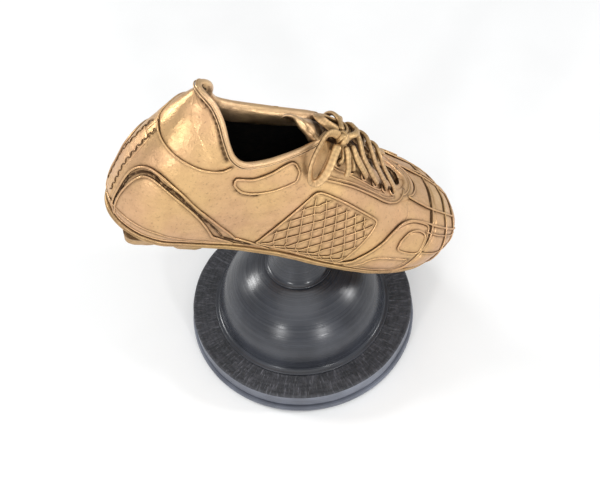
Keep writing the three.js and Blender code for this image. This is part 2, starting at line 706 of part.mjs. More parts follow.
// ---------------------------------------------------------------- assembly
const trophy = new THREE.Group();
const base = new THREE.Group();
const boot = new THREE.Group();
const bootFrame = new THREE.Group();
bootFrame.position.set(BOOT.x, BOOT.y, BOOT.z);
bootFrame.rotation.set(radians(BOOT.roll), radians(BOOT.pitch), 0, 'YXZ');
boot.position.set(-BOOT.pivotX, 0, 0);
bootFrame.add(boot);
trophy.add(base, bootFrame);

function add(group, name, geometry, look) {
  const mesh = new THREE.Mesh(geometry, new THREE.MeshStandardMaterial(look));
  mesh.name = name;
  group.add(mesh);
}

add(base, 'felt_pad', rod(FELT.radius, 0, FELT.thickness, TURNED_SIDES), FELT_LOOK);
add(base, 'foot_disc', footDisc(), LACQUER);
add(base, 'plinth_disc', plinthDisc(), LACQUER);
add(base, 'dome', dome(), LACQUER);
add(base, 'neck', neck(), LACQUER);
add(base, 'threaded_rod', rod(ROD.radius, footBottom + 1, ROD.top), STEEL);
add(base, 'base_washer', washer(recessTop - GAP), STEEL);
add(base, 'base_nut', nut(recessTop - 2 * GAP - WASHER.height - NUT.height), STEEL);
add(base, 'wedge_washer', wedgeWasher(), STEEL);
add(base, 'boot_nut', nut(WEDGE.top + GAP), STEEL);

const shell = upperShell();
add(boot, 'vamp', vamp(shell), BRONZE);
add(boot, 'quarter_lateral', quarter(shell, -1), BRONZE);
add(boot, 'quarter_medial', quarter(shell, 1), BRONZE);
add(boot, 'outsole', outsole(), BRONZE);
add(boot, 'insole', insole(), DARK_BRONZE);
add(boot, 'tongue', tongue(), BRONZE);
add(boot, 'collar_binding', collarBinding(), BRONZE);
add(boot, 'heel_tab', heelTab(), BRONZE);
add(boot, 'heel_upper_panel', heelUpperPanel(), BRONZE);
add(boot, 'back_stay', backStay(), BRONZE);
add(boot, 'toe_cap', toeCap(), BRONZE);
add(boot, 'eyestay', eyestay(), BRONZE);

Object.entries(SIDE_PANELS).forEach(([name, { low, high, ...settings }]) => {
  add(boot, `${name}_lateral`, panel(low, high, settings), BRONZE);
  add(boot, `${name}_medial`, panel(mirrored(low), mirrored(high), settings), BRONZE);
});

HEEL_STUD_PLACES.forEach(([x, y], i) => {
  add(boot, `heel_stud_${i + 1}`, heelStud(x, y), BRONZE);
});

TOE_STUD_PLACES.forEach(([x, y], i) => {
  add(boot, `forefoot_stud_${i + 1}`, toeStud(x, y), BRONZE);
});

LACE_OVER.forEach((route, i) => {
  add(boot, `lace_over_${i + 1}`, lace(route, 12), BRONZE);
  add(boot, `lace_under_${i + 1}`, lace(laceUnder(EYELETS[i + 1]), 10), BRONZE);
});

add(boot, 'lace_knot', laceKnot(), BRONZE);
Object.entries(LACE_ENDS).forEach(([name, route]) => {
  add(boot, name, lace(route, 3 * (route.length - 1)), BRONZE);
});

export default trophy;
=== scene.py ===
# The looks of a figure trophy: a bronzed, laced football boot on a turned black base.
# Lengths are millimetres until a piece is made, which puts them into the frame's metres.
import math

import bmesh
import bpy
import numpy as np
from mathutils import Matrix, Vector
from mathutils.kdtree import KDTree


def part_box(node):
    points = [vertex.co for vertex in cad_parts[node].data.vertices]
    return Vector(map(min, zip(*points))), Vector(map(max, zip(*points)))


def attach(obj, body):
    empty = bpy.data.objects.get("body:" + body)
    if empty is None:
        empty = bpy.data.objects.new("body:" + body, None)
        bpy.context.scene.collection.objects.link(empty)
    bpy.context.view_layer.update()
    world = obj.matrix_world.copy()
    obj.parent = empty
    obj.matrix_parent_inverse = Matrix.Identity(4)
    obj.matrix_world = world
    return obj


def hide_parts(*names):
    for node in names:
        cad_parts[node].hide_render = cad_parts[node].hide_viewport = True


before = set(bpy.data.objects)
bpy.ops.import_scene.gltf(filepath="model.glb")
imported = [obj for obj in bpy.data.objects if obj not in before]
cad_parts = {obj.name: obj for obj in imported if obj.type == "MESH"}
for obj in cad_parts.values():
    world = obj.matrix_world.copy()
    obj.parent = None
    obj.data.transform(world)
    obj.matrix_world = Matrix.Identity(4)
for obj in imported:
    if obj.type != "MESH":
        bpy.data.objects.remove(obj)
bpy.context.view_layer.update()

# ---------------------------------------------------------------- driving dimensions
# The boot's skin has the dimensions that its CAD solids have.
BOOT = {"length": 182, "pivot_x": 76, "place": (-17, 1, 94), "pitch": 28.5, "roll": 6.5}
SOLE_TOP = 4.0
WIDEST = 12.0
HEEL_END = 0.14
TOE_START = 0.7
TOE_POWER = 2.2
TOE_SWING = 2.5
TUCK_SPAN = 0.3
TUCK = 0.08
LEAN = {"reach": 0.38, "top": 17, "from": 30, "over": 52, "bottom": 5, "below": 16}
WALL = 2.6
COLLAR_FRONT = 80
SLOT = {"start": 66, "end": 127, "rear": 7.6, "front": 4.8}
EYELETS = [(97, 0.69), (105, 0.70), (113, 0.72), (121, 0.745), (129, 0.775), (136, 0.81)]

CORD = 0.52
FINE_CORD = 0.36
# How long one turn of the laces' braid is.
BRAID = 1.5
# How deep the upper dips beside a sewn line, and how far a panel reaches below the skin.
DIP = 0.32
PANEL_UNDER = 0.9
# About how far apart a panel's points are.
PANEL_STEP = 0.9
WELD = 1e-5
MM = 0.001


# ---------------------------------------------------------------- curves
def profile(*pairs):
    """A smooth curve through (place, value) pairs that never overshoots them."""
    place, value = np.array(pairs, float).T
    span = np.diff(place)
    rise = np.diff(value) / span
    slope = np.concatenate([rise[:1], np.zeros(len(rise) - 1), rise[-1:]])
    for i in range(1, len(rise)):
        if rise[i - 1] * rise[i] > 0:
            before, after = span[i - 1], span[i]
            weight = 3 * (before + after)
            slope[i] = weight / ((2 * after + before) / rise[i - 1] + (after + 2 * before) / rise[i])

    def at(x):
        x = np.clip(x, place[0], place[-1])
        i = np.clip(np.searchsorted(place, x, side="right") - 1, 0, len(span) - 1)
        u = (x - place[i]) / span[i]
        curl = (1 - u) ** 2 * (1 + 2 * u) * value[i] + u**2 * (3 - 2 * u) * value[i + 1]
        lead = u * span[i] * slope[i] * (1 - u) ** 2
        trail = (1 - u) * span[i] * slope[i + 1] * u**2
        return curl + lead - trail

    return at


def unit(vectors):
    """The vectors at a length of 1."""
    return vectors / np.maximum(np.linalg.norm(vectors, axis=-1, keepdims=True), 1e-9)


def smoothstep(a):
    a = np.clip(a, 0, 1)
    return a * a * (3 - 2 * a)


def run_along(path):
    """How far along a path each of its points is."""
    return np.concatenate([[0], np.cumsum(np.linalg.norm(np.diff(path, axis=0), axis=1))])


def resample(at, run, rows):
    """Rows that are known at each place of run, at other places."""
    return np.stack([np.interp(at, run, column) for column in rows.T], -1)


def full_turn(count):
    """Angles evenly round a circle."""
    return 2 * math.pi * np.arange(count) / count


def value_noise(points, size, seed):
    """Smooth noise from -1 to 1 with lumps of about `size`, the same on each run."""
    cells = 32
    lattice = np.random.default_rng(seed).uniform(-1, 1, (cells, cells, cells))
    scaled = points / size
    cell = np.floor(scaled).astype(int)
    part = smoothstep(scaled - cell)
    total = np.zeros(points.shape[:-1])
    for corner in np.ndindex(2, 2, 2):
        weight = np.prod(np.where(corner, part, 1 - part), axis=-1)
        i, j, k = np.moveaxis((cell + corner) % cells, -1, 0)
        total += weight * lattice[i, j, k]
    return total


# Millimetres for one unit of each column of a route: s, g and the height over the skin.
ROUTE_SCALE = np.array([1.0, 45.0, 1.0])


def smooth_route(controls, step=0.9, closed=False):
    """Points about `step` apart on a smooth curve through the controls, by their own columns."""
    points = np.array(controls, float)
    scale = ROUTE_SCALE[: points.shape[1]]
    if closed:
        points = np.vstack([points[-1:], points, points[:2]])
    else:
        points = np.vstack([2 * points[0] - points[1], points, 2 * points[-1] - points[-2]])
    found = []
    for p in (points[i : i + 4] for i in range(len(points) - 3)):
        gaps = np.maximum(np.linalg.norm(np.diff(p, axis=0) * scale, axis=1), 1e-6)
        k = np.concatenate([[0], np.cumsum(np.sqrt(gaps))])
        count = max(2, int(math.ceil(gaps[1] / step)))
        t = (k[1] + (k[2] - k[1]) * np.arange(count) / count)[:, None]
        a = [((k[i + 1] - t) * p[i] + (t - k[i]) * p[i + 1]) / (k[i + 1] - k[i]) for i in range(3)]
        b = [((k[i + 2] - t) * a[i] + (t - k[i]) * a[i + 1]) / (k[i + 2] - k[i]) for i in range(2)]
        found.append(((k[2] - t) * b[0] + (t - k[1]) * b[1]) / (k[2] - k[1]))
    if not closed:
        found.append(points[-2:-1])
    return np.vstack(found)


def spline(points, t):
    """An even spline through points, at t from 0 to 1."""
    points = np.array(points, float)
    last = len(points) - 1
    place = np.clip(t, 0, 1) * last
    i = np.minimum(place.astype(int), last - 1)
    w = (place - i)[..., None]
    p0, p1 = points[np.maximum(i - 1, 0)], points[i]
    p2, p3 = points[i + 1], points[np.minimum(i + 2, last)]
    out, back = (p2 - p0) / 2, (p3 - p1) / 2
    return (2 * (p1 - p2) + out + back) * w**3 + (3 * (p2 - p1) - 2 * out - back) * w**2 + out * w + p1


# ---------------------------------------------------------------- the boot's skin
lateral_width = profile((0, 22), (0.28, 21.5), (0.42, 23.5), (0.56, 28.8), (0.7, 32.2), (0.84, 32.6), (1, 27))
medial_width = profile((0, 19.5), (0.28, 21), (0.42, 20), (0.56, 25), (0.7, 29.6), (0.84, 29), (1, 23.5))
ridge_height = profile((0, 82), (0.15, 80), (0.3, 74), (0.5, 60.5), (0.7, 39), (0.9, 29.5), (1, 24))
fullness = profile((0, 1.9), (0.2, 2), (0.45, 2.2), (1, 2.3))
# The collar is about 4 lower at the back seam than the CAD's, because the binding's nub stands up there.
lateral_collar = profile(
    (0, 77.6), (4, 76.8), (13, 72), (24, 63), (31, 57.5), (38, 55), (48, 57), (58, 61), (68, 65), (80, 68)
)
medial_collar = profile(
    (0, 77.6), (4, 76.4), (13, 70), (22, 61), (31, 56), (42, 55), (56, 56), (68, 59), (80, 68)
)

# s runs along the side of the boot from the back seam, evenly spaced round heel and toe.
HEEL_ARC = HEEL_END * BOOT["length"] * math.pi / 2
TOE_ARC = (1 - TOE_START) * BOOT["length"] * math.pi / 2
TOE_PLACE = HEEL_ARC + (TOE_START - HEEL_END) * BOOT["length"]
TOE_TIP = TOE_PLACE + TOE_ARC


def station(s):
    """How far along the boot s is, from 0 at the heel to 1 at the toe."""
    heel = HEEL_END * (1 - np.cos(math.pi / 2 * s / HEEL_ARC))
    middle = HEEL_END + (s - HEEL_ARC) / BOOT["length"]
    turn = np.clip((s - TOE_PLACE) / TOE_ARC, 0, 1)
    toe = np.minimum(TOE_START + (1 - TOE_START) * np.sin(math.pi / 2 * turn), 1)
    return np.where(s < HEEL_ARC, heel, np.where(s < TOE_PLACE, middle, toe))


def place_of(distance):
    """s for a distance from the back of the heel."""
    t = distance / BOOT["length"]
    round_heel = HEEL_ARC * np.arccos(np.clip(1 - t / HEEL_END, -1, 1)) / (math.pi / 2)
    return np.where(t < HEEL_END, round_heel, HEEL_ARC + (t - HEEL_END) * BOOT["length"])


def toe_swing(t):
    """How far the forefoot swings to the medial side."""
    return TOE_SWING * np.clip((t - 0.5) / 0.5, 0, 1) ** 2


def toe_round(t):
    """How much of the boot's width and height the rounded toe leaves."""
    along = np.clip((t - TOE_START) / (1 - TOE_START), 0, 1)
    return (1 - along**TOE_POWER) ** (1 / TOE_POWER)


def skin(s, g):
    """A point of the skin. g is 0 on the lateral side's widest line, 1 on the ridge and 2 on the medial
    side's widest line, and beyond those it tucks under to the sole. A negative s is past the back seam."""
    s, g = np.broadcast_arrays(np.asarray(s, float), np.asarray(g, float))
    g = np.where(s < 0, 2 - g, g)
    t = station(np.abs(s))
    lateral = g <= 1
    side = np.where(lateral, g, 2 - g)
    rise = np.clip(side, 0, 1) * math.pi / 2
    tuck = np.clip(-side / TUCK_SPAN, 0, 1)
    squareness = 2 / fullness(t)
    heel = np.clip((HEEL_END - t) / HEEL_END, 0, 1)
    width = np.where(lateral, lateral_width(t), medial_width(t)) * np.sqrt(1 - heel**2) * toe_round(t)
    top = WIDEST + (ridge_height(t) - WIDEST) * toe_round(t)
    tucked = SOLE_TOP + (WIDEST - SOLE_TOP) * (1 - tuck)
    z = np.where(side >= 0, WIDEST + (top - WIDEST) * np.sin(rise) ** squareness, tucked)
    sideways = width * np.maximum(np.cos(rise), 0) ** squareness * (1 - TUCK * tuck**2)
    back = 1 - smoothstep(t / LEAN["reach"])
    lean = LEAN["top"] * np.clip((z - LEAN["from"]) / LEAN["over"], 0, 1.3) ** 1.5
    lean = lean + LEAN["bottom"] * np.clip(1 - z / LEAN["below"], 0, 1) ** 2
    x = t * BOOT["length"] + back * lean
    y = np.where(lateral, -sideways, sideways) + toe_swing(t)
    return np.stack([x, y, z], -1)


def outward(s, g):
    """The direction straight out of the skin."""
    s, g = np.broadcast_arrays(np.asarray(s, float), np.asarray(g, float))
    near = np.clip(s, None, TOE_TIP - 0.8)
    along = skin(near + 0.3, g) - skin(near - 0.3, g)
    around = skin(near, g + 0.01) - skin(near, g - 0.01)
    return unit(np.cross(along, around))


def above(s, g, height):
    """A point that far over the skin."""
    return skin(s, g) + outward(s, g) * np.asarray(height, float)[..., None]


def height_to_g(s, height):
    """The place round the lateral side where the skin reaches a height."""
    t = station(s)
    level = np.clip((height - WIDEST) / (ridge_height(t) - WIDEST), 0, 1)
    return np.arcsin(level ** (fullness(t) / 2)) / (math.pi / 2)


def slot_g(s, medial):
    """The place round one side where the lacing slot's edge is, or the ridge where there is no slot."""
    t = station(s)
    x = t * BOOT["length"]
    share = np.clip((x - SLOT["start"]) / (SLOT["end"] - SLOT["start"]), 0, 1)
    straight = SLOT["rear"] + (SLOT["front"] - SLOT["rear"]) * share
    nose = np.sqrt(np.clip(SLOT["front"] ** 2 - (x - SLOT["end"]) ** 2, 0, None))
    half = np.where(x < SLOT["end"], straight, nose)
    width = np.where(medial, medial_width(t), lateral_width(t)) * toe_round(t)
    reach = np.where(half > 0, half + np.where(medial, -1, 1) * toe_swing(t), 0)
    share = np.clip(reach / np.maximum(width, 1e-6), 0, 1) ** (fullness(t) / 2)
    return np.arccos(share) / (math.pi / 2)


def collar_g(distance, medial):
    """The place round one side where the collar's edge is."""
    height = np.where(medial, medial_collar(distance), lateral_collar(distance))
    return height_to_g(place_of(distance), height)


def opening_g(s, medial):
    """The top of the upper on one side: the collar, then the slot's edge, then the closed ridge."""
    distance = station(s) * BOOT["length"]
    collar = np.where(distance < COLLAR_FRONT, collar_g(distance, medial), 1)
    slot = np.where(distance > SLOT["start"], slot_g(s, medial), 1)
    blend = 0.03
    soft = np.clip(0.5 + (slot - collar) / (2 * blend), 0, 1)
    joined = slot + (collar - slot) * soft - blend * soft * (1 - soft)
    return np.where((distance > SLOT["start"]) & (distance < COLLAR_FRONT), joined, np.minimum(collar, slot))


# The boot's own frame, in the trophy's.
boot_turn = np.array(
    Matrix.Rotation(math.radians(BOOT["pitch"]), 3, "Y") @ Matrix.Rotation(math.radians(BOOT["roll"]), 3, "X")
)


def boot_to_frame(points):
    return (points - np.array([BOOT["pivot_x"], 0, 0])) @ boot_turn.T + np.array(BOOT["place"])


def as_it_is(points):
    return points


# ---------------------------------------------------------------- materials
class Look:
    """A node material that is written from the shader's sockets backwards."""

    def __init__(self, name):
        self.material = bpy.data.materials.new(name)
        self.material.use_nodes = True
        self.nodes = self.material.node_tree.nodes
        self.links = self.material.node_tree.links
        self.shader = self.nodes["Principled BSDF"]
        self.place = self.node("ShaderNodeTexCoord").outputs["Object"]

    def node(self, kind, **settings):
        made = self.nodes.new(kind)
        for key, value in settings.items():
            setattr(made, key, value)
        return made

    def feed(self, socket, value):
        if isinstance(value, bpy.types.NodeSocket):
            self.links.new(value, socket)
        else:
            socket.default_value = value

    def shade(self, **values):
        """Feeds the shader's own sockets, by their names with _ for a space."""
        for key, value in values.items():
            self.feed(self.shader.inputs[key.replace("_", " ")], value)

    def maths(self, operation, a, b=0.0, clamp=False):
        made = self.node("ShaderNodeMath", operation=operation, use_clamp=clamp)
        self.feed(made.inputs[0], a)
        self.feed(made.inputs[1], b)
        return made.outputs[0]

    def times(self, a, b):
        return self.maths("MULTIPLY", a, b)

    def noise(self, scale, detail=3.0, roughness=0.55, place=None, distortion=0.0):
        made = self.node("ShaderNodeTexNoise")
        settings = {"Scale": scale, "Detail": detail, "Roughness": roughness, "Distortion": distortion}
        for key, value in settings.items():
            made.inputs[key].default_value = value
        self.feed(made.inputs["Vector"], place or self.place)
        return made.outputs["Fac"]

    def span(self, value, low, high, to_low=0.0, to_high=1.0):
        made = self.node("ShaderNodeMapRange", interpolation_type="SMOOTHSTEP")
        for i, number in enumerate((value, low, high, to_low, to_high)):
            self.feed(made.inputs[i], number)
        return made.outputs[0]

    def mix(self, share, a, b):
        """A blend of two colours, each a socket or a tuple of red, green and blue."""
        made = self.node("ShaderNodeMix", data_type="RGBA")
        self.feed(made.inputs["Factor"], share)
        for key, value in (("A", a), ("B", b)):
            self.feed(made.inputs[key], (*value, 1.0) if isinstance(value, tuple) else value)
        return made.outputs["Result"]

    def attribute(self, name):
        return self.node("ShaderNodeAttribute", attribute_name=name).outputs["Fac"]

    def bump(self, *layers):
        """Layers of (height socket, depth in metres), one over another."""
        normal = None
        for height, depth in layers:
            made = self.node("ShaderNodeBump")
            made.inputs["Strength"].default_value = 1.0
            made.inputs["Distance"].default_value = depth
            self.feed(made.inputs["Height"], height)
            if normal:
                self.feed(made.inputs["Normal"], normal)
            normal = made.outputs["Normal"]
        self.shade(Normal=normal)


def bronze_look(name, pink, gold, dark, rough=0.42, grime=0.35):
    """Cast bronze: mottled tone, fine grain, and a brown wash that stays in the hollows."""
    look = Look(name)
    broad = look.span(look.noise(38, 2.0), 0.36, 0.66)
    patchy = look.span(look.noise(170, 4.0, 0.62), 0.38, 0.68)
    speckle = look.span(look.noise(900, 3.0, 0.6), 0.56, 0.74)
    tone = look.mix(broad, pink, gold)
    tone = look.mix(look.times(patchy, 0.22), tone, tuple(0.62 * c for c in pink))
    tone = look.mix(look.times(speckle, grime), tone, dark)
    wash = look.times(look.attribute("wash"), look.span(look.noise(420, 2.0), 0.25, 0.5, 0.45, 1.0))
    occlusion = look.node("ShaderNodeAmbientOcclusion", samples=6)
    occlusion.inputs["Distance"].default_value = 0.0035
    hollow = look.span(occlusion.outputs["AO"], 0.35, 0.8, 0.85, 0.0)
    stain = look.maths("MAXIMUM", wash, hollow, clamp=True)
    rough_by = look.maths("ADD", rough - 0.06, look.times(patchy, 0.14))
    rough_by = look.maths("ADD", rough_by, look.times(stain, 0.2))
    look.shade(Base_Color=look.mix(stain, tone, dark), Roughness=rough_by, Metallic=0.88)
    look.bump((look.noise(150, 3.0), 0.0005), (look.noise(1300, 4.0, 0.65), 0.00012))
    return look.material


def lining_look():
    """The hollow of the boot: near-black, rough, and a little uneven."""
    look = Look("dark_hollow")
    uneven = look.span(look.noise(300, 4.0), 0.4, 0.7)
    tone = look.mix(uneven, (0.004, 0.0035, 0.003), (0.016, 0.011, 0.007))
    look.shade(Base_Color=tone, Roughness=0.85, Metallic=0.2)
    look.bump((look.noise(500, 4.0), 0.0004))
    return look.material


def turned_place(look):
    """Coordinates for a piece turned about the upright axis: x, y, z and the radius."""
    apart = look.node("ShaderNodeSeparateXYZ")
    look.feed(apart.inputs[0], look.place)
    x, y, z = apart.outputs
    radius = look.maths("SQRT", look.maths("ADD", look.times(x, x), look.times(y, y)))
    return x, y, z, radius


def together(look, x, y, z):
    made = look.node("ShaderNodeCombineXYZ")
    for socket, value in zip(made.inputs, (x, y, z)):
        look.feed(socket, value)
    return made.outputs[0]


def lacquer_look(name, strength, rough=0.22):
    """Black satin lacquer with the fine rings that turning and polishing leave."""
    look = Look(name)
    _, _, z, radius = turned_place(look)
    rings = together(look, look.times(radius, 2600), look.times(z, 2600), 0.0)
    lines = look.noise(1.0, 2.0, 0.6, place=rings)
    wide = look.noise(0.12, 2.0, 0.5, place=rings)
    cloud = look.span(look.noise(45, 3.0), 0.35, 0.7)
    dust = look.span(look.noise(2200, 2.0), 0.70, 0.78)
    deep, pale, ring = (
        tuple(strength * c for c in colour)
        for colour in ((0.0105, 0.0115, 0.015), (0.023, 0.025, 0.031), (0.052, 0.055, 0.064))
    )
    tone = look.mix(cloud, deep, pale)
    tone = look.mix(look.span(lines, 0.45, 0.75, 0.0, 0.5), tone, ring)
    tone = look.mix(look.times(dust, 0.3), tone, (0.2, 0.2, 0.21))
    look.shade(Base_Color=tone, Roughness=look.span(wide, 0.3, 0.7, rough, rough + 0.12), Metallic=0.0)
    look.bump((wide, 0.00006), (lines, 0.000035))
    return look.material


def scuffed_look():
    """Matte lacquer with short radial scratches, as on the top of the plinth."""
    look = Look("black_lacquer_scuffed")
    x, y, z, radius = turned_place(look)
    angle = look.maths("ARCTAN2", y, x)
    fan = together(look, look.times(angle, 36.0), look.times(radius, 110), z)
    scratches = look.noise(1.4, 4.0, 0.62, place=fan, distortion=0.4)
    mottle = look.noise(230, 4.0, 0.65)
    tone = look.mix(look.span(mottle, 0.35, 0.7), (0.018, 0.019, 0.023), (0.042, 0.042, 0.05))
    tone = look.mix(look.span(scratches, 0.5, 0.75, 0.0, 0.75), tone, (0.14, 0.14, 0.16))
    look.shade(Base_Color=tone, Roughness=look.span(scratches, 0.3, 0.75, 0.68, 0.46))
    look.bump((scratches, 0.0010), (mottle, 0.0004))
    return look.material


def steel_look():
    look = Look("zinc_plated_steel")
    cloud = look.noise(160, 3.0)
    grain = look.noise(1500, 3.0)
    tone = look.mix(look.span(cloud, 0.3, 0.7), (0.42, 0.43, 0.44), (0.60, 0.60, 0.58))
    look.shade(Base_Color=tone, Roughness=look.span(grain, 0.3, 0.7, 0.28, 0.46), Metallic=1.0)
    look.bump((grain, 0.00003))
    return look.material


def felt_look():
    look = Look("black_felt")
    fibres = look.noise(2600, 5.0, 0.7, distortion=1.2)
    clumps = look.noise(420, 4.0, 0.6)
    tone = look.mix(look.span(fibres, 0.35, 0.7), (0.004, 0.004, 0.005), (0.03, 0.03, 0.033))
    tone = look.mix(look.span(clumps, 0.45, 0.7, 0.0, 0.5), tone, (0.012, 0.012, 0.014))
    look.shade(Base_Color=tone, Roughness=0.95, Sheen_Weight=0.3, Sheen_Roughness=0.5)
    look.bump((fibres, 0.0004), (clumps, 0.0003))
    return look.material


PINK, GOLD, BROWN = (0.63, 0.385, 0.21), (0.66, 0.425, 0.20), (0.075, 0.038, 0.016)
boot_bronze = bronze_look("boot_bronze", PINK, GOLD, BROWN)
collar_bronze = bronze_look("collar_bronze", (0.72, 0.475, 0.28), (0.74, 0.50, 0.265), BROWN, 0.4, 0.25)
lace_bronze = bronze_look("lace_bronze", (0.62, 0.40, 0.21), (0.68, 0.455, 0.22), BROWN, 0.45, 0.25)
sole_bronze = bronze_look("sole_bronze", (0.52, 0.33, 0.17), (0.58, 0.38, 0.17), BROWN, 0.46, 0.5)
dark_bronze = bronze_look("dark_bronze", (0.05, 0.03, 0.015), (0.08, 0.05, 0.022), (0.01, 0.006, 0.003), 0.6)
dark_hollow = lining_look()
lacquer = lacquer_look("black_lacquer_turned", 1.5, 0.2)
# The discs' edge lacquer is the same black lacquer painted four times lighter than the dome's: a painted
# reflection of the pale floor on their sides.
edge_lacquer_painted_reflection = lacquer_look("black_lacquer_edge_painted_reflection", 6.0, 0.36)
scuffed = scuffed_look()
steel = steel_look()
felt = felt_look()


# ---------------------------------------------------------------- making meshes
def grid_quads(rows, columns, around=False, closed=False):
    """Corner numbers of the squares of a grid of points, row by row."""
    row = np.arange(rows if closed else rows - 1)[:, None]
    column = np.arange(columns if around else columns - 1)[None, :]
    next_row, next_column = (row + 1) % rows, (column + 1) % columns
    corners = [
        row * columns + column,
        row * columns + next_column,
        next_row * columns + next_column,
        next_row * columns + column,
    ]
    return np.stack(np.broadcast_arrays(*corners), -1).reshape(-1, 4)


def tube_faces(rings, sides, closed=False):
    """Faces round a row of rings, which is capped at both ends or closed on itself."""
    faces = grid_quads(rings, sides, around=True, closed=closed).tolist()
    if not closed:
        last = (rings - 1) * sides
        faces += [list(range(sides)), list(range(last, last + sides))]
    return faces


class Piece:
    """The points and faces of one object, gathered part by part."""

    def __init__(self, place=boot_to_frame):
        self.place = place
        self.points, self.faces, self.wash, self.looks = [], [], [], []
        self.count = 0

    def add(self, points, faces, wash=0.0, look=0):
        points = np.asarray(points, float).reshape(-1, 3)
        self.points.append(points)
        self.wash.append(np.broadcast_to(np.asarray(wash, float).reshape(-1), (len(points),)))
        self.add_faces(faces, look)
        self.count += len(points)
        return self

    def add_faces(self, faces, look=0, before=0):
        """Faces between points from here on, or between the last `before` points already added."""
        first = self.count - before
        self.faces.extend([corner + first for corner in face] for face in faces)
        self.looks.extend([look] * len(faces))

    def make(self, node, slot, *materials, sharp=None):
        mesh = bpy.data.meshes.new("fine_" + node)
        points = self.place(np.concatenate(self.points)) * MM
        mesh.from_pydata(points.tolist(), [], self.faces)
        for material in materials:
            mesh.materials.append(material)
        mesh.polygons.foreach_set("material_index", self.looks)
        wash = mesh.attributes.new("wash", "FLOAT", "POINT")
        wash.data.foreach_set("value", np.concatenate(self.wash).astype(np.float32))
        work = bmesh.new()
        work.from_mesh(mesh)
        bmesh.ops.remove_doubles(work, verts=work.verts, dist=WELD)
        bmesh.ops.recalc_face_normals(work, faces=work.faces)
        work.to_mesh(mesh)
        work.free()
        mesh.shade_smooth()
        if sharp:
            mesh.set_sharp_from_angle(angle=math.radians(sharp))
        made = bpy.data.objects.new("fine_" + node, mesh)
        bpy.context.scene.collection.objects.link(made)
        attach(made, "root")
        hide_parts(node)
        return made


def circle(radius, sides=8):
    turn = full_turn(sides)
    return radius * np.stack([np.cos(turn), np.sin(turn)], -1)


def oval(width, thickness, sides=14, power=2.6):
    """A flattened round section, squarer than an ellipse where the power is over 2."""
    shape = circle(1, sides)
    return np.sign(shape) * np.abs(shape) ** (2 / power) * [width / 2, thickness / 2]


def rounded_ends(path, reach, least=0.2):
    """A scale along a path that rounds off both of its ends."""
    run = run_along(path)
    edge = np.clip(np.minimum(run, run[-1] - run) / reach, 0, 1)
    return np.maximum(np.sqrt(1 - (1 - edge) ** 2), least)


def sweep(path, up, section, scale=1.0, closed=False, twist=0.0):
    """A section, whose columns are sideways and up, drawn along a path into a closed solid."""
    if closed:
        along = unit(np.roll(path, -1, 0) - np.roll(path, 1, 0))
    else:
        along = unit(np.gradient(path, axis=0))
    up = unit(up - np.sum(up * along, -1, keepdims=True) * along)
    side = np.cross(along, up)
    turn = np.broadcast_to(np.asarray(twist, float), (len(path),))[:, None]
    side, up = side * np.cos(turn) + up * np.sin(turn), up * np.cos(turn) - side * np.sin(turn)
    section = np.asarray(section)
    size = np.broadcast_to(np.asarray(scale, float), (len(path),))[:, None, None]
    across = section[None, :, :1] * side[:, None] + section[None, :, 1:] * up[:, None]
    return path[:, None] + size * across, tube_faces(len(path), len(section), closed)


def cord_wash(path, section):
    """A cord is stained where it meets the skin, on the low half of its section."""
    low = smoothstep(-section[:, 1] / np.abs(section[:, 1]).max() + 0.25)
    return np.broadcast_to(low, (len(path), len(section)))


# ---------------------------------------------------------------- sewn lines
cords = {}
cord_paths = []


def cord(owner, s, g, radius=CORD, height=0.12, closed=False, stain=0.0):
    """A raised line of stitching or piping over the skin, kept for the piece that owns it."""
    path, up = above(s, g, np.full(np.shape(s), height)), outward(s, g)
    wobble = 1 + 0.16 * value_noise(path, 2.6, 11)
    cords.setdefault(owner, []).append((path, up, radius, wobble, closed, stain))
    cord_paths.append(path)


def both_sides(owners, controls, **settings):
    """The same line on the lateral and the medial side, each for the piece that owns it there."""
    s, g = smooth_route(controls).T
    cord(owners[0], s, g, **settings)
    cord(owners[1], s, 2 - g, **settings)


def dashes(owners, controls, length=1.7, gap=1.0, **settings):
    """A line of short separate stitches on both sides."""
    route = smooth_route(controls, 0.3)
    run = run_along(skin(*route.T))
    for start in np.arange(0.5 * gap, run[-1] - length, length + gap):
        s, g = resample(np.linspace(start, start + length, 5), run, route).T
        cord(owners[0], s, g, **settings)
        cord(owners[1], s, 2 - g, **settings)


def over_ridge(controls):
    """Controls up one side to the ridge, and the same ones down the other side."""
    return [*controls, *((s, 2 - g) for s, g in reversed(controls) if g < 1)]


def add_cords(piece, owner, look=0):
    for path, up, radius, wobble, closed, stain in cords.get(owner, []):
        section = circle(radius, 7)
        scale = wobble if closed else wobble * rounded_ends(path, 2 * radius)
        piece.add(*sweep(path, up, section, scale, closed), np.maximum(cord_wash(path, section), stain), look)


# Panels: a low and a high edge on the lateral side, and how square the corners are.
PANELS = {
    "heel_counter": {
        "low": [(11, -0.2), (20, -0.2), (35, -0.2), (53, -0.2), (70, -0.2)],
        "high": [(10, 0.1), (17, 0.25), (33, 0.215), (50, 0.085), (68, -0.13)],
        "corner": 9,
    },
    "ankle_patch": {
        "low": [(53, 0.33), (58, 0.3), (64, 0.3), (71, 0.33), (76, 0.375), (80.5, 0.43)],
        "high": [(52, 0.37), (60, 0.38), (67, 0.435), (72.5, 0.515), (76, 0.545), (80, 0.51)],
        "corner": 7,
    },
    "saddle_panel": {
        "low": [(78, -0.06), (92, -0.13), (106, -0.16), (119, -0.18)],
        "high": [(92, 0.42), (104, 0.43), (116, 0.44), (128, 0.455)],
        "corner": 12,
    },
    "forefoot_panel": {
        "low": [(124, -0.2), (132, -0.2), (140, -0.2), (148, -0.2), (155, -0.2)],
        "high": [(125, -0.07), (133, 0.2), (140.5, 0.46), (151, 0.59), (164, 0.59)],
        "corner": 14,
    },
    "toe_side_panel": {
        "low": [(144, 0.24), (149, 0.22), (154, 0.21), (158, 0.21)],
        "high": [(144.5, 0.35), (149, 0.46), (155, 0.5), (161, 0.475)],
        "corner": 5,
        "base": 0.5,
    },
}
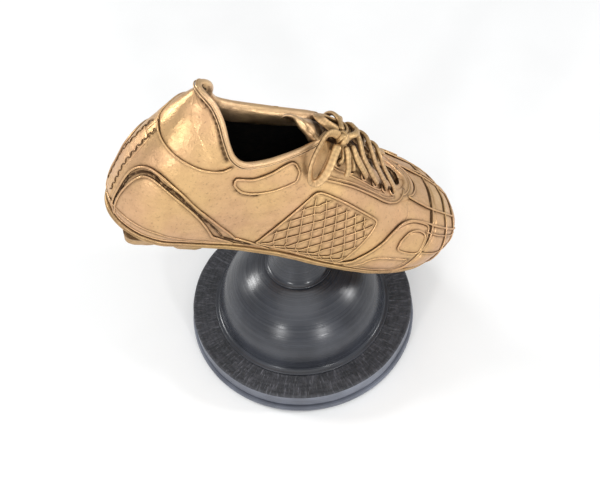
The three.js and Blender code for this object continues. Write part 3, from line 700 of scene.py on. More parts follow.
SPREAD_PANELS = {
    "heel_tab": {
        "low": [(-17, 0.665), (-9, 0.7), (0, 0.74), (9, 0.7), (17, 0.665)],
        "high": [(-17, 0.74), (-9, 0.79), (0, 0.8), (9, 0.8), (17, 0.755)],
        "corner": 8,
        "fade": 3.0,
    },
    "heel_upper_panel": {
        "low": [(-42, 0.385), (-27, 0.395), (-12, 0.42), (0, 0.46), (12, 0.42), (27, 0.395), (42, 0.385)],
        "high": [(-42, 0.41), (-30, 0.5), (-13, 0.62), (0, 0.74), (13, 0.62), (30, 0.5), (42, 0.405)],
        "corner": 20,
        "fade": 9.0,
    },
    "back_stay": {
        "low": [(-5.5, -0.2), (-5.5, 0), (-5.5, 0.2), (-5.5, 0.38)],
        "high": [(5.5, -0.2), (5.5, 0), (5.5, 0.2), (5.5, 0.38)],
        "corner": 12,
    },
}
CAP_EDGE = over_ridge([(159, 0.02), (164, 0.25), (168.5, 0.5), (172, 0.8), (174, 1)])


def panel_place(panel, a, b):
    """(s, g) in a panel, for a along it and b across it, both from -1 to 1 and out to its rounded outline."""
    a, b = np.broadcast_arrays(np.asarray(a, float), np.asarray(b, float))
    reach = np.maximum(np.maximum(np.abs(a), np.abs(b)), 1e-9)
    power = panel["corner"]
    squash = np.maximum(np.abs(a / reach) ** power + np.abs(b / reach) ** power, 1) ** (-1 / power)
    u, v = (a * squash + 1) / 2, ((b * squash + 1) / 2)[..., None]
    place = spline(panel["low"], u) * (1 - v) + spline(panel["high"], u) * v
    return place[..., 0], place[..., 1]


def panel_outline(panel):
    """(s, g) all round a panel's edge, about a millimetre apart."""
    corner = np.array([(-1, -1), (1, -1), (1, 1), (-1, 1), (-1, -1)], float)
    steps = np.linspace(0, 4, 480, endpoint=False)
    i = steps.astype(int)
    a, b = (corner[i] + (corner[i + 1] - corner[i]) * (steps - i)[:, None]).T
    edge = np.stack(panel_place(panel, a, b), -1)
    edge = np.vstack([edge, edge[:1]])
    run = run_along(skin(*edge.T))
    count = max(24, int(run[-1]))
    return resample(np.arange(count) / count * run[-1], run, edge).T


# ---------------------------------------------------------------- where the sewn lines run
COUNTER_LINE = [
    (10.5, -0.26), (8.6, -0.1), (7.9, 0.06), (8.6, 0.17), (10.2, 0.235), (14, 0.28), (20, 0.292),
    (33, 0.25), (45, 0.165), (57, 0.08), (68, 0.0), (79, -0.1), (88, -0.22),
]
ANKLE_STITCHES = [(55, 0.305), (59, 0.288), (64, 0.287), (69, 0.3)]
COUNTER_GROOVE = [
    (9.6, 0.0), (9.4, 0.13), (11.4, 0.215), (17, 0.271), (25, 0.258), (33, 0.234), (45, 0.142), (57, 0.05),
    (68, -0.06), (78, -0.16),
]
SOLE_LINE = [
    (0, -0.07), (8, -0.05), (14, -0.03), (24, -0.02), (33, -0.03), (40, -0.09), (48, -0.14), (60, -0.165),
    (75, -0.18),
]
HEEL_LINE = [(0, 0.455), (8.2, 0.43), (17, 0.41), (27, 0.395), (36.6, 0.388), (44.4, 0.40), (47, 0.425)]
HEEL_LINE_MEDIAL = [
    (0, 1.545), (5, 1.525), (10, 1.48), (18, 1.45), (27, 1.50), (36.6, 1.58), (44.4, 1.60), (47, 1.575),
]
TAB_LINE = [
    (4, 0.77), (8.2, 0.738), (15.2, 0.715), (21, 0.69), (26, 0.645), (31, 0.59), (37, 0.515), (43, 0.455),
]
FOREFOOT_LINE = [
    (119, -0.2), (124, -0.06), (129.6, 0.1), (135.3, 0.29), (139.6, 0.44), (145, 0.55), (150, 0.595),
    (158, 0.61), (166, 0.595), (182.4, 0.53), (196, 0.42), (206, 0.28),
]
TOE_SIDE_LINE = [(161, 0.5), (170, 0.465), (181, 0.41), (194, 0.29), (204, 0.16)]
TOE_LOW_LINE = [(160, 0.215), (170, 0.17), (180, 0.12), (196, 0.03)]
WING_HIGH = [(127, -0.2), (133, 0.04), (138, 0.095), (146, 0.11), (154, 0.105)]
WING_LOW = [(154.5, 0.1), (152, 0.0), (149, -0.1), (143, -0.2)]
TOE_ARCS = [
    [
        (151, -0.26), (156.5, 0.01), (160.5, 0.23), (164.4, 0.4), (166.8, 0.56), (168.8, 0.75),
        (170.4, 0.88), (171.8, 1.0),
    ],
    [(177, -0.26), (179.2, 0.05), (181, 0.3), (182.4, 0.55), (183.4, 0.77), (185.4, 0.9), (186.8, 1.0)],
    [(193, -0.26), (195.6, 0.1), (197, 0.4), (198, 0.7), (199.6, 0.88), (200.6, 1.0)],
]
TOP_LINE = [(149.5, 0.84), (158, 0.81), (167, 0.785), (181, 0.765), (192, 0.74), (204, 0.68)]
CROWN_LINE = [(140, 1.245), (150, 1.19), (162, 1.165), (176, 1.165), (190, 1.19), (203, 1.25)]
THROAT_LINES = [
    [(149.5, 0.84), (153.5, 0.875), (157, 0.94), (158.4, 1.0)],
    [(144, 0.82), (148.5, 0.865), (151.8, 0.93), (153.2, 1.0)],
]
STAY_LINE = [
    (90, 0.505), (98, 0.535), (108, 0.575), (122, 0.63), (134, 0.685), (141, 0.75), (145.5, 0.84),
    (147, 0.9),
]
STAY_SECOND = [(90, 0.535), (98, 0.565), (108, 0.605), (122, 0.66), (132, 0.71), (138, 0.77)]
FACING_LINE = [
    (93.5, 0.83), (92.6, 0.74), (93.0, 0.655), (96, 0.632), (104, 0.645), (114, 0.67), (121, 0.695),
    (126.5, 0.74), (128.5, 0.80), (128.5, 0.84),
]

QUARTERS, VAMP, EYESTAY = ("quarter_lateral", "quarter_medial"), ("vamp", "vamp"), ("eyestay", "eyestay")
OVER_CAP = 0.34

both_sides(QUARTERS, COUNTER_LINE)
both_sides(QUARTERS, COUNTER_GROOVE, radius=0.5, height=-0.12, stain=1.0)
both_sides(QUARTERS, SOLE_LINE, radius=0.42)
dashes(QUARTERS, ANKLE_STITCHES, length=3.0, radius=0.3, height=0.05, stain=0.9)
cord(QUARTERS[0], *smooth_route(HEEL_LINE).T)
cord(QUARTERS[1], *smooth_route(HEEL_LINE_MEDIAL).T)
dashes(QUARTERS, TAB_LINE, radius=0.34, height=0.3, stain=0.9)
both_sides(VAMP, FOREFOOT_LINE, height=OVER_CAP)
both_sides(VAMP, TOE_SIDE_LINE, radius=FINE_CORD, height=OVER_CAP)
both_sides(VAMP, TOE_LOW_LINE, radius=FINE_CORD, height=OVER_CAP)
both_sides(VAMP, WING_HIGH)
both_sides(VAMP, WING_LOW, radius=FINE_CORD)
both_sides(VAMP, TOP_LINE, height=OVER_CAP)
cord("vamp", *smooth_route(CROWN_LINE).T, height=OVER_CAP)
for line in (*TOE_ARCS, *THROAT_LINES):
    capped = line in TOE_ARCS[1:]
    cord("toe_cap" if capped else "vamp", *smooth_route(over_ridge(line)).T, height=0.42 if capped else 0.16)
for line in TOE_ARCS:
    groove = smooth_route(over_ridge([(s - 1.15, g) for s, g in line]))
    owner, height = ("toe_cap", 0.08) if line in TOE_ARCS[1:] else ("vamp", -0.1)
    cord(owner, *groove.T, radius=0.34, height=height, stain=0.9)
both_sides(EYESTAY, STAY_LINE, height=0.3)
both_sides(EYESTAY, STAY_SECOND, radius=FINE_CORD, height=0.5)
both_sides(EYESTAY, FACING_LINE, radius=0.45, height=0.6)


def mirrored(panel):
    flip = {key: [(s, 2 - g) for s, g in panel[key]] for key in ("low", "high")}
    return {**panel, **flip}


side_panels = {}
for name, panel in PANELS.items():
    side_panels[name + "_lateral"] = panel
    side_panels[name + "_medial"] = mirrored(panel)

for name, panel in side_panels.items():
    cord(name, *panel_outline(panel), height=panel.get("base", 0) + 0.15, closed=True)


def quilting(panel, rows=5, columns=7):
    """Two sets of slanting lines that cross in diamonds inside a panel."""
    lines = []
    inside = 0.9
    for sign in (1, -1):
        for k in range(-columns, columns + 1):
            along = np.linspace(-inside, inside, 60)
            across = sign * (along * columns / rows - 2 * k / rows)
            kept = np.abs(across) < inside
            if kept.sum() > 6:
                lines.append(panel_place(panel, along[kept], across[kept]))
    return lines


for side in ("lateral", "medial"):
    for s, g in quilting(side_panels["saddle_panel_" + side]):
        cord("saddle_panel_" + side, s, g, radius=0.3, height=0.62)

tree = KDTree(sum(len(path) for path in cord_paths))
for number, point in enumerate(np.concatenate(cord_paths)):
    tree.insert(point, number)
tree.balance()


def cord_distance(points):
    """How far each point is from the nearest sewn line."""
    flat = points.reshape(-1, 3)
    return np.array([tree.find(point)[2] for point in flat]).reshape(points.shape[:-1])


def beside_cord(points):
    """0 away from the sewn lines, up to 1 in the narrow hollow that runs beside each."""
    return np.exp(-((cord_distance(points) / 1.05) ** 2))


def unevenness(points):
    """The slight lumpiness of a hand-finished casting."""
    return 0.22 * value_noise(points, 11, 3) + 0.10 * value_noise(points, 4.2, 4)


# ---------------------------------------------------------------- the upper
ROWS = 89
INNER_STEP = 4
RIM_ROWS = 3
# Where the vamp meets the quarters: s for each g.
SEAM = profile((-0.3, 117), (0, 126.5), (0.3, 135.6), (0.5, 142), (0.6, 147), (0.84, 150), (1, 152))


def upper_places(medial, before_seam, stations):
    """(s, g) over one side of the upper, behind the vamp's seam or in front of it, and its top edge's g."""
    share = np.linspace(0, 1, ROWS)
    seam = SEAM(-TUCK_SPAN + (1 + TUCK_SPAN) * share)
    along = np.linspace(0, 1, stations)[:, None]
    s = along * seam if before_seam else seam + along * (TOE_TIP - seam)
    top = opening_g(s, medial)
    g = -TUCK_SPAN + (top + TUCK_SPAN) * share
    return s, np.where(medial, 2 - g, g), top[:, -1]


def upper_side(medial, before_seam, stations):
    """One side: outside from the sole to the opening, over its rim, and down the inside."""
    s, g, top = upper_places(medial, before_seam, stations)
    share = np.linspace(0, 1, ROWS)
    base, normal = skin(s, g), outward(s, g)
    stain = beside_cord(base)
    fade = np.where(top >= 1, 1, 0)[:, None] + (1 - share**8)
    outside = base + normal * (unevenness(base) * np.clip(fade, 0, 1) - DIP * stain)[..., None]
    inner_s, inner_g = np.flip(s[:, ::INNER_STEP], 1), np.flip(g[:, ::INNER_STEP], 1)
    inside = skin(inner_s, inner_g) - outward(inner_s, inner_g) * WALL
    if before_seam:
        outside[0, :, 1] = 0
        inside[0, :, 1] = 0

    edge_out, edge_in = outside[:, -1], inside[:, 0]
    middle = (edge_out + edge_in) / 2
    open_edge = (top < 1)[:, None]
    lift = unit(np.cross(np.gradient(edge_out, axis=0), edge_out - edge_in)) * (-1 if medial else 1)
    from_heel = np.clip(s[:, -1:] / 9, 0.2, 1) if before_seam else 1
    lift = np.where(open_edge, lift, 0) * 1.1 * from_heel
    rim = []
    for k in range(1, RIM_ROWS + 1):
        turn = math.pi * k / (RIM_ROWS + 1)
        rim.append(middle + (edge_out - middle) * math.cos(turn) + lift * math.sin(turn))
    rim = np.stack(rim, 1)
    if before_seam:
        rim[0, :, 1] = 0
    return np.concatenate([outside, rim, inside], 1), stain


def end_wall(columns):
    """Column numbers of the faces that close one end of a side's wall."""
    inner = columns - 1
    faces = [[k + i for i in range(INNER_STEP + 1)] for k in range(0, ROWS - 1, INNER_STEP)]
    faces = [face + [inner - n - 1, inner - n] for n, face in enumerate(faces)]
    return faces + [list(range(ROWS - 1, ROWS + RIM_ROWS + 1))]


def add_upper_side(piece, medial, before_seam, stations):
    """Adds one side's outside and rim, then its hollow, its underside and its end walls."""
    points, stain = upper_side(medial, before_seam, stations)
    columns = points.shape[1]
    wash = np.zeros(points.shape[:2])
    wash[:, :ROWS] = 0.9 * stain
    quads = grid_quads(stations, columns)
    column = quads[:, 0] % columns
    over_rim = (column >= ROWS - 1) & (column < ROWS + RIM_ROWS)
    kept = np.full(len(quads), True) if before_seam else ~over_rim
    hollow = column >= ROWS + RIM_ROWS - 1
    row = np.arange(stations - 1)[:, None] * columns
    under = row + np.array([columns - 1, 2 * columns - 1, columns, 0])
    walls = end_wall(columns)
    ends = (0, (stations - 1) * columns) if before_seam else (0,)
    walls = [[start + i for i in face] for start in ends for face in walls[: None if before_seam else -1]]
    piece.add(points, quads[kept & ~hollow].tolist(), wash)
    piece.add_faces(quads[kept & hollow].tolist() + under.tolist() + walls, 1, before=wash.size)


def upper_part(name, sides, before_seam, stations):
    """A quarter, which is one side behind the seam, or the vamp, which is both sides in front of it."""
    piece = Piece()
    for medial in sides:
        add_upper_side(piece, medial, before_seam, stations)
    add_cords(piece, name)
    return piece.make(name, "boot_bronze", boot_bronze, dark_hollow)


def add_zigzag(piece):
    """Zigzag stitching down both edges of the back stay."""
    count = 10
    half = 0.2 / count
    near, far = 3.0, 4.8
    section = circle(0.3, 5)
    share = np.linspace(0, 1, 5)
    bow = 0.3 + 0.22 * np.sin(math.pi * share)
    for side in (1, -1):
        for k in range(2 * count):
            start, end = (near, far) if k % 2 == 0 else (far, near)
            s, g = side * (start + (end - start) * share), 0.03 + half * (k + share)
            path = above(s, g, bow)
            piece.add(*sweep(path, outward(s, g), section, rounded_ends(path, 0.4)), 0.85)


# ---------------------------------------------------------------- panels
def pad(name, s, g, rise, base=0.0, edge=1.1):
    """A thin closed sheet over the skin on a grid of (s, g) places, with its edge rounded down and the
    sewn lines that it owns."""
    normal = outward(s, g)
    ground = skin(s, g)
    along = np.linalg.norm(np.diff(ground, axis=0), axis=-1)
    across = np.linalg.norm(np.diff(ground, axis=1), axis=-1)
    run_a = np.concatenate([np.zeros((1, ground.shape[1])), np.cumsum(along, 0)])
    run_b = np.concatenate([np.zeros((ground.shape[0], 1)), np.cumsum(across, 1)], 1)
    near = np.minimum(np.minimum(run_a, run_a[-1] - run_a), np.minimum(run_b, run_b[:, -1:] - run_b))
    bulge = np.sqrt(1 - (1 - np.clip(near / edge, 0, 1)) ** 2)
    stain = beside_cord(ground)
    height = base - 0.1 + rise * bulge + 0.5 * unevenness(ground) * bulge - 0.2 * stain * bulge
    top, bottom = ground + normal * height[..., None], ground + normal * (base - PANEL_UNDER)
    points, faces = closed_sheet(top, bottom)
    piece = Piece().add(points, faces, under_washed(0.9 * stain))
    add_cords(piece, name)
    return piece


def under_washed(stain):
    """The wash of a closed sheet: its stain on top, and full underneath."""
    return np.concatenate([stain.reshape(-1), np.ones(stain.size)])


def closed_sheet(top, bottom):
    """Points and faces of the solid between two sheets of the same grid."""
    rows, columns = top.shape[:2]
    size = rows * columns
    quads = grid_quads(rows, columns)
    faces = quads.tolist() + (quads[:, ::-1] + size).tolist()
    number = np.arange(size).reshape(rows, columns)
    for edge in (number[0], number[-1, ::-1], number[::-1, 0], number[:, -1]):
        faces += [[a, b, b + size, a + size] for a, b in zip(edge[:-1].tolist(), edge[1:].tolist())]
    return np.concatenate([top.reshape(-1, 3), bottom.reshape(-1, 3)]), faces


def panel_grid(panel):
    """A grid of (s, g) places over a panel."""
    size = np.ptp(skin(*panel_outline(panel)), axis=0)
    count = max(10, int(np.linalg.norm(size) / PANEL_STEP))
    along, across = np.linspace(-1, 1, count), np.linspace(-1, 1, max(8, count // 2))
    return panel_place(panel, along[:, None], across[None, :])


def panel_piece(name, panel, rise=0.55):
    piece = pad(name, *panel_grid(panel), rise, panel.get("base", 0.0), panel.get("fade", 1.1))
    if name == "back_stay":
        add_zigzag(piece)
    return piece.make(name, "boot_bronze", boot_bronze)


def eyestay():
    """The facing that carries the eyelets, in one U round the slot, with a worn ring in each hole."""
    outer = [(89, 0.5), (97, 0.53), (108, 0.58), (122, 0.635), (136, 0.7), (150, 0.82), (157, 1)]
    inner = [(92, 0.77), (99, 0.775), (109, 0.79), (120, 0.8), (131, 0.825), (143, 0.88), (149.5, 1)]
    u, v = np.linspace(0, 1, 190)[:, None], np.linspace(0, 1, 16)[None, :, None]
    place = spline(over_ridge(outer), u) * (1 - v) + spline(over_ridge(inner), u) * v
    piece = pad("eyestay", place[..., 0], place[..., 1], 0.7)
    for s, g in EYELETS:
        for g_side in (g, 2 - g):
            add_eyelet(piece, s, g_side)
    return piece.make("eyestay", "boot_bronze", boot_bronze)


def add_eyelet(piece, s, g):
    """A rough raised ring with a dark floor."""
    centre, up = above(s, g, 0.75), outward(s, g)
    side = unit(np.cross(up, [0, 1, 0]))
    round_hole = circle(1, 24) @ np.stack([side, np.cross(up, side)])
    ring = centre + 1.9 * round_hole
    ring += up * (0.15 * value_noise(ring, 1.2, 8))[:, None]
    section = circle(0.5, 8)
    size = 1 + 0.2 * value_noise(ring, 1.0, 9)
    ups = np.broadcast_to(up, ring.shape)
    piece.add(*sweep(ring, ups, section, size, closed=True), cord_wash(ring, section))
    floor = [centre - up * depth + 1.75 * round_hole for depth in (0.35, 0.95)]
    piece.add(np.concatenate(floor), tube_faces(2, 24), 1.0)


def toe_cap():
    """The toe's own panel, from its curved edge to the tip."""
    u, v = np.linspace(0, 1, 150)[:, None], np.linspace(0, 0.985, 56)[None, :, None]
    tip = [(TOE_TIP, g) for _, g in CAP_EDGE]
    place = spline(CAP_EDGE, u) * (1 - v) + spline(tip, u) * v
    return pad("toe_cap", place[..., 0], place[..., 1], 0.35).make("toe_cap", "boot_bronze", boot_bronze)


# ---------------------------------------------------------------- collar, tongue and insole
COLLAR_SECTION = [
    (0.1, -2.2), (0.75, -1.6), (1.05, -0.5), (0.95, 0.6), (0.35, 1.5), (-0.6, 2.0), (-1.7, 1.9),
    (-2.9, 1.2), (-3.9, -0.2), (-4.6, -2.4), (-4.8, -5), (-4.4, -7.4), (-3.4, -8.6), (-2.7, -7), (-2.6, -4),
    (-1.5, -1.5),
]
COLLAR_REACH = 75


def collar_path():
    """The collar's edge from the throat's lateral corner round the heel to the medial one."""
    q = np.linspace(-COLLAR_REACH, COLLAR_REACH, 1200)
    distance = np.abs(q)
    medial = q > 0
    s, g = place_of(distance), collar_g(distance, medial)
    g = np.where(medial, 2 - g, g)
    path = skin(s, g)
    out = outward(s, g)
    steady = distance > 7
    out = unit(resample(q, q[steady], out[steady]))
    run = run_along(path)
    even = np.linspace(0, run[-1], 260)
    return resample(even, run, path), unit(resample(even, run, out)), np.interp(even, run, q)


def softened(values, rounds):
    """Averages each row with its neighbours, so that a tight turn opens a little."""
    for _ in range(rounds):
        values = np.concatenate([values[:1], (values[:-2] + 2 * values[1:-1] + values[2:]) / 4, values[-1:]])
    return values


def collar():
    """The rolled binding round the mouth, with its lining and two sewn lines."""
    path, out, q = collar_path()
    path, out = softened(path, 12), unit(softened(out, 20))
    loop = smooth_route([(x, z / ROUTE_SCALE[1]) for x, z in COLLAR_SECTION], 0.7, closed=True)
    section = np.stack([loop[:, 0], loop[:, 1] * ROUTE_SCALE[1]], -1)
    at_heel = np.exp(-((q / 6.0) ** 2))
    near_side = smoothstep(0.5 - q / 24)
    nub = (1 - 0.45 * near_side) * (1 - 0.25 * at_heel) * (1 + 0.05 * value_noise(path, 5, 21))
    ends = rounded_ends(path, 4, 0.3)
    up = unit(np.cross(unit(np.gradient(path, axis=0)), out))
    path = path + (1.2 * out - 0.3 * up) * at_heel[:, None]
    along = unit(np.gradient(path, axis=0))
    points, faces = sweep(path, np.cross(along, out), section * [-1, 1], nub * ends)
    # The lining is short at the back seam, where the two sides come together.
    deep = np.minimum(section[:, 1] + 2.2, 0)
    points = points - up[:, None] * ((0.75 * nub * np.exp(-((q / 14) ** 2)))[:, None] * deep)[..., None]
    low = smoothstep((-section[:, 1] - 4.5) / 4)
    wash = np.broadcast_to(low, points.shape[:2])
    piece = Piece().add(points, faces, wash * 0.8)
    line = circle(0.3, 6)
    for drop, lift in ((-2.9, 0.15), (-1.2, 1.0)):
        rail = path + (up * drop + out * lift) * nub[:, None]
        piece.add(*sweep(rail, out, line, rounded_ends(rail, 1)), cord_wash(rail, line))
    return piece.make("collar_binding", "boot_bronze", collar_bronze)


TONGUE_REAR = profile((0, 82.5), (0.03, 81.8), (0.1, 78.8), (0.2, 75), (0.4, 72), (0.7, 71), (1, 71))
TONGUE_FRONT = 150


def tongue():
    """A padded tongue: a folded band across the throat, and a sunk, dark strip under the laces."""
    u, v = np.linspace(0, 1, 150)[:, None], np.linspace(0, 1, 56)[None, :]
    rear = TONGUE_REAR(v)
    s = rear + (TONGUE_FRONT - rear) * u
    edge = np.interp(s, [66, 82, 100, 136, 150], [0.745, 0.745, 0.73, 0.72, 0.78])
    far_edge = np.interp(s, [66, 76, 90, 100, 136, 150], [1.1, 1.15, 1.22, 1.27, 1.28, 1.22])
    g = edge + (far_edge - edge) * v
    ground, normal = skin(s, g), outward(s, g)
    crown = np.sin(math.pi * np.broadcast_to(v, s.shape)) ** 0.7
    folds = 0.35 * np.sin(s * 1.15 + 2.2 * np.sin(3 * g)) * crown + 0.35 * value_noise(ground, 2.4, 31)
    band = 1 - smoothstep((s - rear - 7) / 9)
    rolled = np.sqrt(1 - (1 - np.clip((s - rear) / 2.2, 0, 1)) ** 2)
    crease = 0.35 * np.exp(-(((s - rear - 4.2) / 0.8) ** 2))
    sunk = -4.3 + 2.4 * crown + folds
    tucked = 5.5 * smoothstep((v - 0.3) / 0.6) + 1.6 * smoothstep((0.1 - v) / 0.1)
    height = sunk * (1 - band) + (0.4 * folds - 0.8 + 1.3 * rolled - crease - tucked) * band
    top = ground + normal * height[..., None]
    bottom = ground + normal * (height - 1.4 - 0.5 * rolled)[..., None]
    wash = under_washed(np.maximum(1 - 1.15 * band, crease * band))
    return Piece().add(*closed_sheet(top, bottom), wash).make("tongue", "boot_bronze", collar_bronze)


def sole_outline(margin, height, count):
    """The sole's plan at a height, `margin` outside the line where the skin meets it, once round."""
    s = np.linspace(-TOE_TIP, TOE_TIP, count, endpoint=False)
    line = skin(s, -TUCK_SPAN)
    out = outward(np.clip(s, -TOE_TIP + 3, TOE_TIP - 3), -0.05)
    out[..., 2] = 0
    outline = line + unit(out) * margin
    outline[..., 2] = height
    return outline


def layered(levels, count):
    """A closed solid from outlines of the sole at (margin, height) levels."""
    points = np.stack([sole_outline(margin, height, count) for margin, height in levels])
    faces = grid_quads(len(levels), count, around=True).tolist()
    for level in (0, len(levels) - 1):
        start = level * count
        half = count // 2
        for i in range(half):
            a, b = start + i, start + i + 1
            c, d = start + (count - i - 1) % count, start + (count - i) % count
            faces.append([a, b, c, d] if i < half - 1 else [a, b, d])
    return points, faces


INSOLE_BOTTOM = SOLE_TOP + 3.5
INSOLE_TOP = INSOLE_BOTTOM + 1.8


def insole():
    low, high = INSOLE_BOTTOM, INSOLE_TOP
    levels = [(-5.9, low), (-5.4, low + 0.4), (-5.4, high - 0.5), (-6.1, high)]
    return Piece().add(*layered(levels, 160), 0.3).make("insole", "dark_bronze", dark_bronze, sharp=60)


def outsole():
    levels = [
        (-2.6, 0.35), (-1.2, 0.3), (-0.2, 0.5), (0.6, 1.1), (0.9, 1.9), (0.7, 2.5), (0.55, 2.8), (1.0, 3.1),
        (1.25, 3.6), (1.0, 4.1), (0.2, 4.35), (-1.2, 4.3),
    ]
    points, faces = layered(levels, 420)
    level_wash = np.interp(range(len(levels)), [0, 4, 5, 6, 7, 9, 10, 11], [0.1, 0, 0.5, 0.6, 0, 0, 0.6, 0.9])
    wash = np.broadcast_to(level_wash[:, None], points.shape[:2])
    ripple = 0.125 * value_noise(points, 6, 41)
    piece = Piece().add(points + ripple[..., None] * [1, 1, 0], faces, wash)
    add_sole_ribs(piece)
    return piece.make("outsole", "sole_bronze", sole_bronze)


def add_sole_ribs(piece):
    """Ribs moulded under the sole: one round its edge and a fan of them under the arch."""
    edge = sole_outline(-3.4, 0.35, 300)
    down = np.array([0, 0, -1.0])
    piece.add(*sweep(edge, np.broadcast_to(down, edge.shape), circle(0.7, 8), closed=True), 0.2)
    for k in range(-2, 3):
        x = np.linspace(54, 98, 40)
        rib = np.stack([x, k * 3.0 * (1 + 0.01 * (x - BOOT["pivot_x"])) + 0.8, np.full(40, 0.35)], -1)
        downs = np.broadcast_to(down, rib.shape)
        piece.add(*sweep(rib, downs, oval(1.5, 1.3, 10), rounded_ends(rib, 2)), 0.15)


# ---------------------------------------------------------------- studs
def node_middle(node):
    """The middle of a CAD node's box in the boot's own frame, in millimetres."""
    low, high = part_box(node)
    middle = np.array((low + high) / 2) / MM
    return (middle - np.array(BOOT["place"])) @ boot_turn + np.array([BOOT["pivot_x"], 0, 0])


def stud(node, length, width, height, power):
    """A moulded stud that narrows to a worn, rounded foot."""
    x, y, _ = node_middle(node)
    shape = oval(length, width, 48, power)
    levels = [
        (1.12, 0.6), (1.04, 0.0), (0.98, -0.9), (0.93, -0.45 * height), (0.88, -0.8 * height),
        (0.82, -0.93 * height), (0.66, -height), (0.3, -1.02 * height),
    ]
    rings = [np.column_stack([shape * scale + [x, y], np.full(len(shape), z)]) for scale, z in levels]
    points = np.stack(rings)
    points[1:] += 0.12 * value_noise(points[1:], 2.5, 51)[..., None]
    wash = np.interp(range(len(levels)), [0, 1, 2, 7], [0.9, 0.6, 0.1, 0.15])
    wash = np.broadcast_to(wash[:, None], points.shape[:2])
    faces = tube_faces(len(levels), len(shape))
    return Piece().add(points, faces, wash).make(node, "sole_bronze", sole_bronze)


# ---------------------------------------------------------------- laces
# Each strand on top: (s, g, height) from its eyelet to where it slips under the far facing.
LACE_OVER = [
    [(105, 0.70, 0.4), (105, 0.705, 1.9), (104.2, 0.73, 2.6), (102.8, 0.78, 2.9), (101.6, 0.84, 2.8)],
    [
        (113, 0.72, 0.4), (112.8, 0.715, 1.9), (110.5, 0.715, 3.2), (106, 0.735, 4.8), (102, 0.775, 5.4),
        (98.8, 0.84, 5.4),
    ],
    [
        (121, 0.745, 0.4), (120.8, 0.74, 1.9), (118, 0.735, 3), (112, 0.77, 3.6), (107, 0.83, 4.2),
        (104.5, 0.93, 4.9), (103.7, 1.04, 4.6), (103.5, 1.11, 2.8), (103.5, 1.12, 1.2),
    ],
    [
        (129, 0.775, 0.4), (128.8, 0.775, 1.9), (126.5, 0.785, 3), (121, 0.815, 3.6), (116, 0.86, 4.2),
        (112.5, 0.94, 4.9), (111.7, 1.04, 4.6), (111.5, 1.11, 2.8), (111.5, 1.12, 1.2),
    ],
    [
        (136, 0.81, 0.4), (136, 0.81, 1.9), (134, 0.825, 3), (129, 0.865, 3.6), (124, 0.91, 4.2),
        (121, 0.98, 4.9), (120.2, 1.05, 4.6), (120, 1.1, 2.8), (120, 1.11, 1.2),
    ],
]


def lace_under(eyelet):
    """The strand that comes out of a medial eyelet and dives under the one on top."""
    s, g = eyelet
    return [
        (s, 2 - g, 0.4), (s - 0.4, 1.99 - g, 2.1), (s - 2.5, 1.94 - g, 3), (s - 6, 1.12, 2.8),
        (s - 8.5, 1.02, 2.4), (s - 10.5, 0.96, 1.6), (s - 11, 0.945, 0.6),
    ]


def strand(node, controls, width=2.6, thickness=1.8, twist=0.0):
    """A flat woven lace along (s, g, height) controls, with the ribs of its braid."""
    route = smooth_route(controls, 0.45)
    path = above(*route.T)
    section = oval(width, thickness, 16)
    scale = rounded_ends(path, 1.4) * (1 + 0.07 * value_noise(path, 3.0, 61))
    points, faces = sweep(path, outward(*route.T[:2]), section, scale, twist=twist)
    along, around = 2 * math.pi * run_along(path)[:, None] / BRAID, 3 * full_turn(len(section))
    braid = np.sin(along + around) * np.sin(along - around)
    points = points + unit(points - path[:, None]) * (0.045 * braid)[..., None]
    wash = np.clip(0.12 - 0.35 * braid, 0, 0.35) + 0.6 * cord_wash(path, section)
    return Piece().add(points, faces, np.clip(wash, 0, 1)).make(node, "lace_bronze", lace_bronze)


LACE_ENDS = {
    "lace_to_knot_lateral": [
        (97, 0.69, 0.4), (97.2, 0.70, 1.9), (97.4, 0.73, 2.9), (96.2, 0.79, 3.6), (95, 0.84, 4),
    ],
    "lace_to_knot_medial": [
        (97, 1.31, 0.4), (97, 1.30, 1.9), (96.6, 1.24, 3), (95.6, 1.13, 3.6), (94.8, 1.0, 4),
        (94.4, 0.93, 4.2),
    ],
    "bow_loop_lateral": [
        (91.5, 0.86, 5), (88, 0.86, 5.2), (84.5, 0.825, 5), (82.2, 0.735, 4.6), (81.2, 0.635, 4.2),
        (82, 0.555, 3.8), (84.5, 0.49, 3.4), (87.5, 0.49, 3.4), (89.4, 0.55, 3.8), (90.2, 0.635, 4.2),
        (90.6, 0.72, 4.4), (91.6, 0.8, 4.6),
    ],
    "bow_loop_medial": [
        (91.5, 0.9, 4.2), (87, 0.92, 3.8), (83.4, 0.95, 3.2), (83.4, 0.995, 1.8), (87, 1.06, 1.4),
        (92.5, 1.08, 1.6), (96.6, 1.05, 2.6), (98.2, 0.995, 3.8), (97.6, 0.94, 4), (95.6, 0.9, 4.4),
    ],
    "lace_tail_lateral": [
        (95.4, 0.81, 5), (96.6, 0.765, 5.6), (98, 0.72, 5.2), (99.8, 0.67, 4.4), (100.6, 0.61, 3.2),
    ],
    "lace_tail_medial": [
        (95.4, 0.88, 5.2), (97.4, 0.9, 6), (99.8, 0.925, 6.6), (101.8, 0.965, 6.4), (103, 1.01, 5.6),
    ],
}


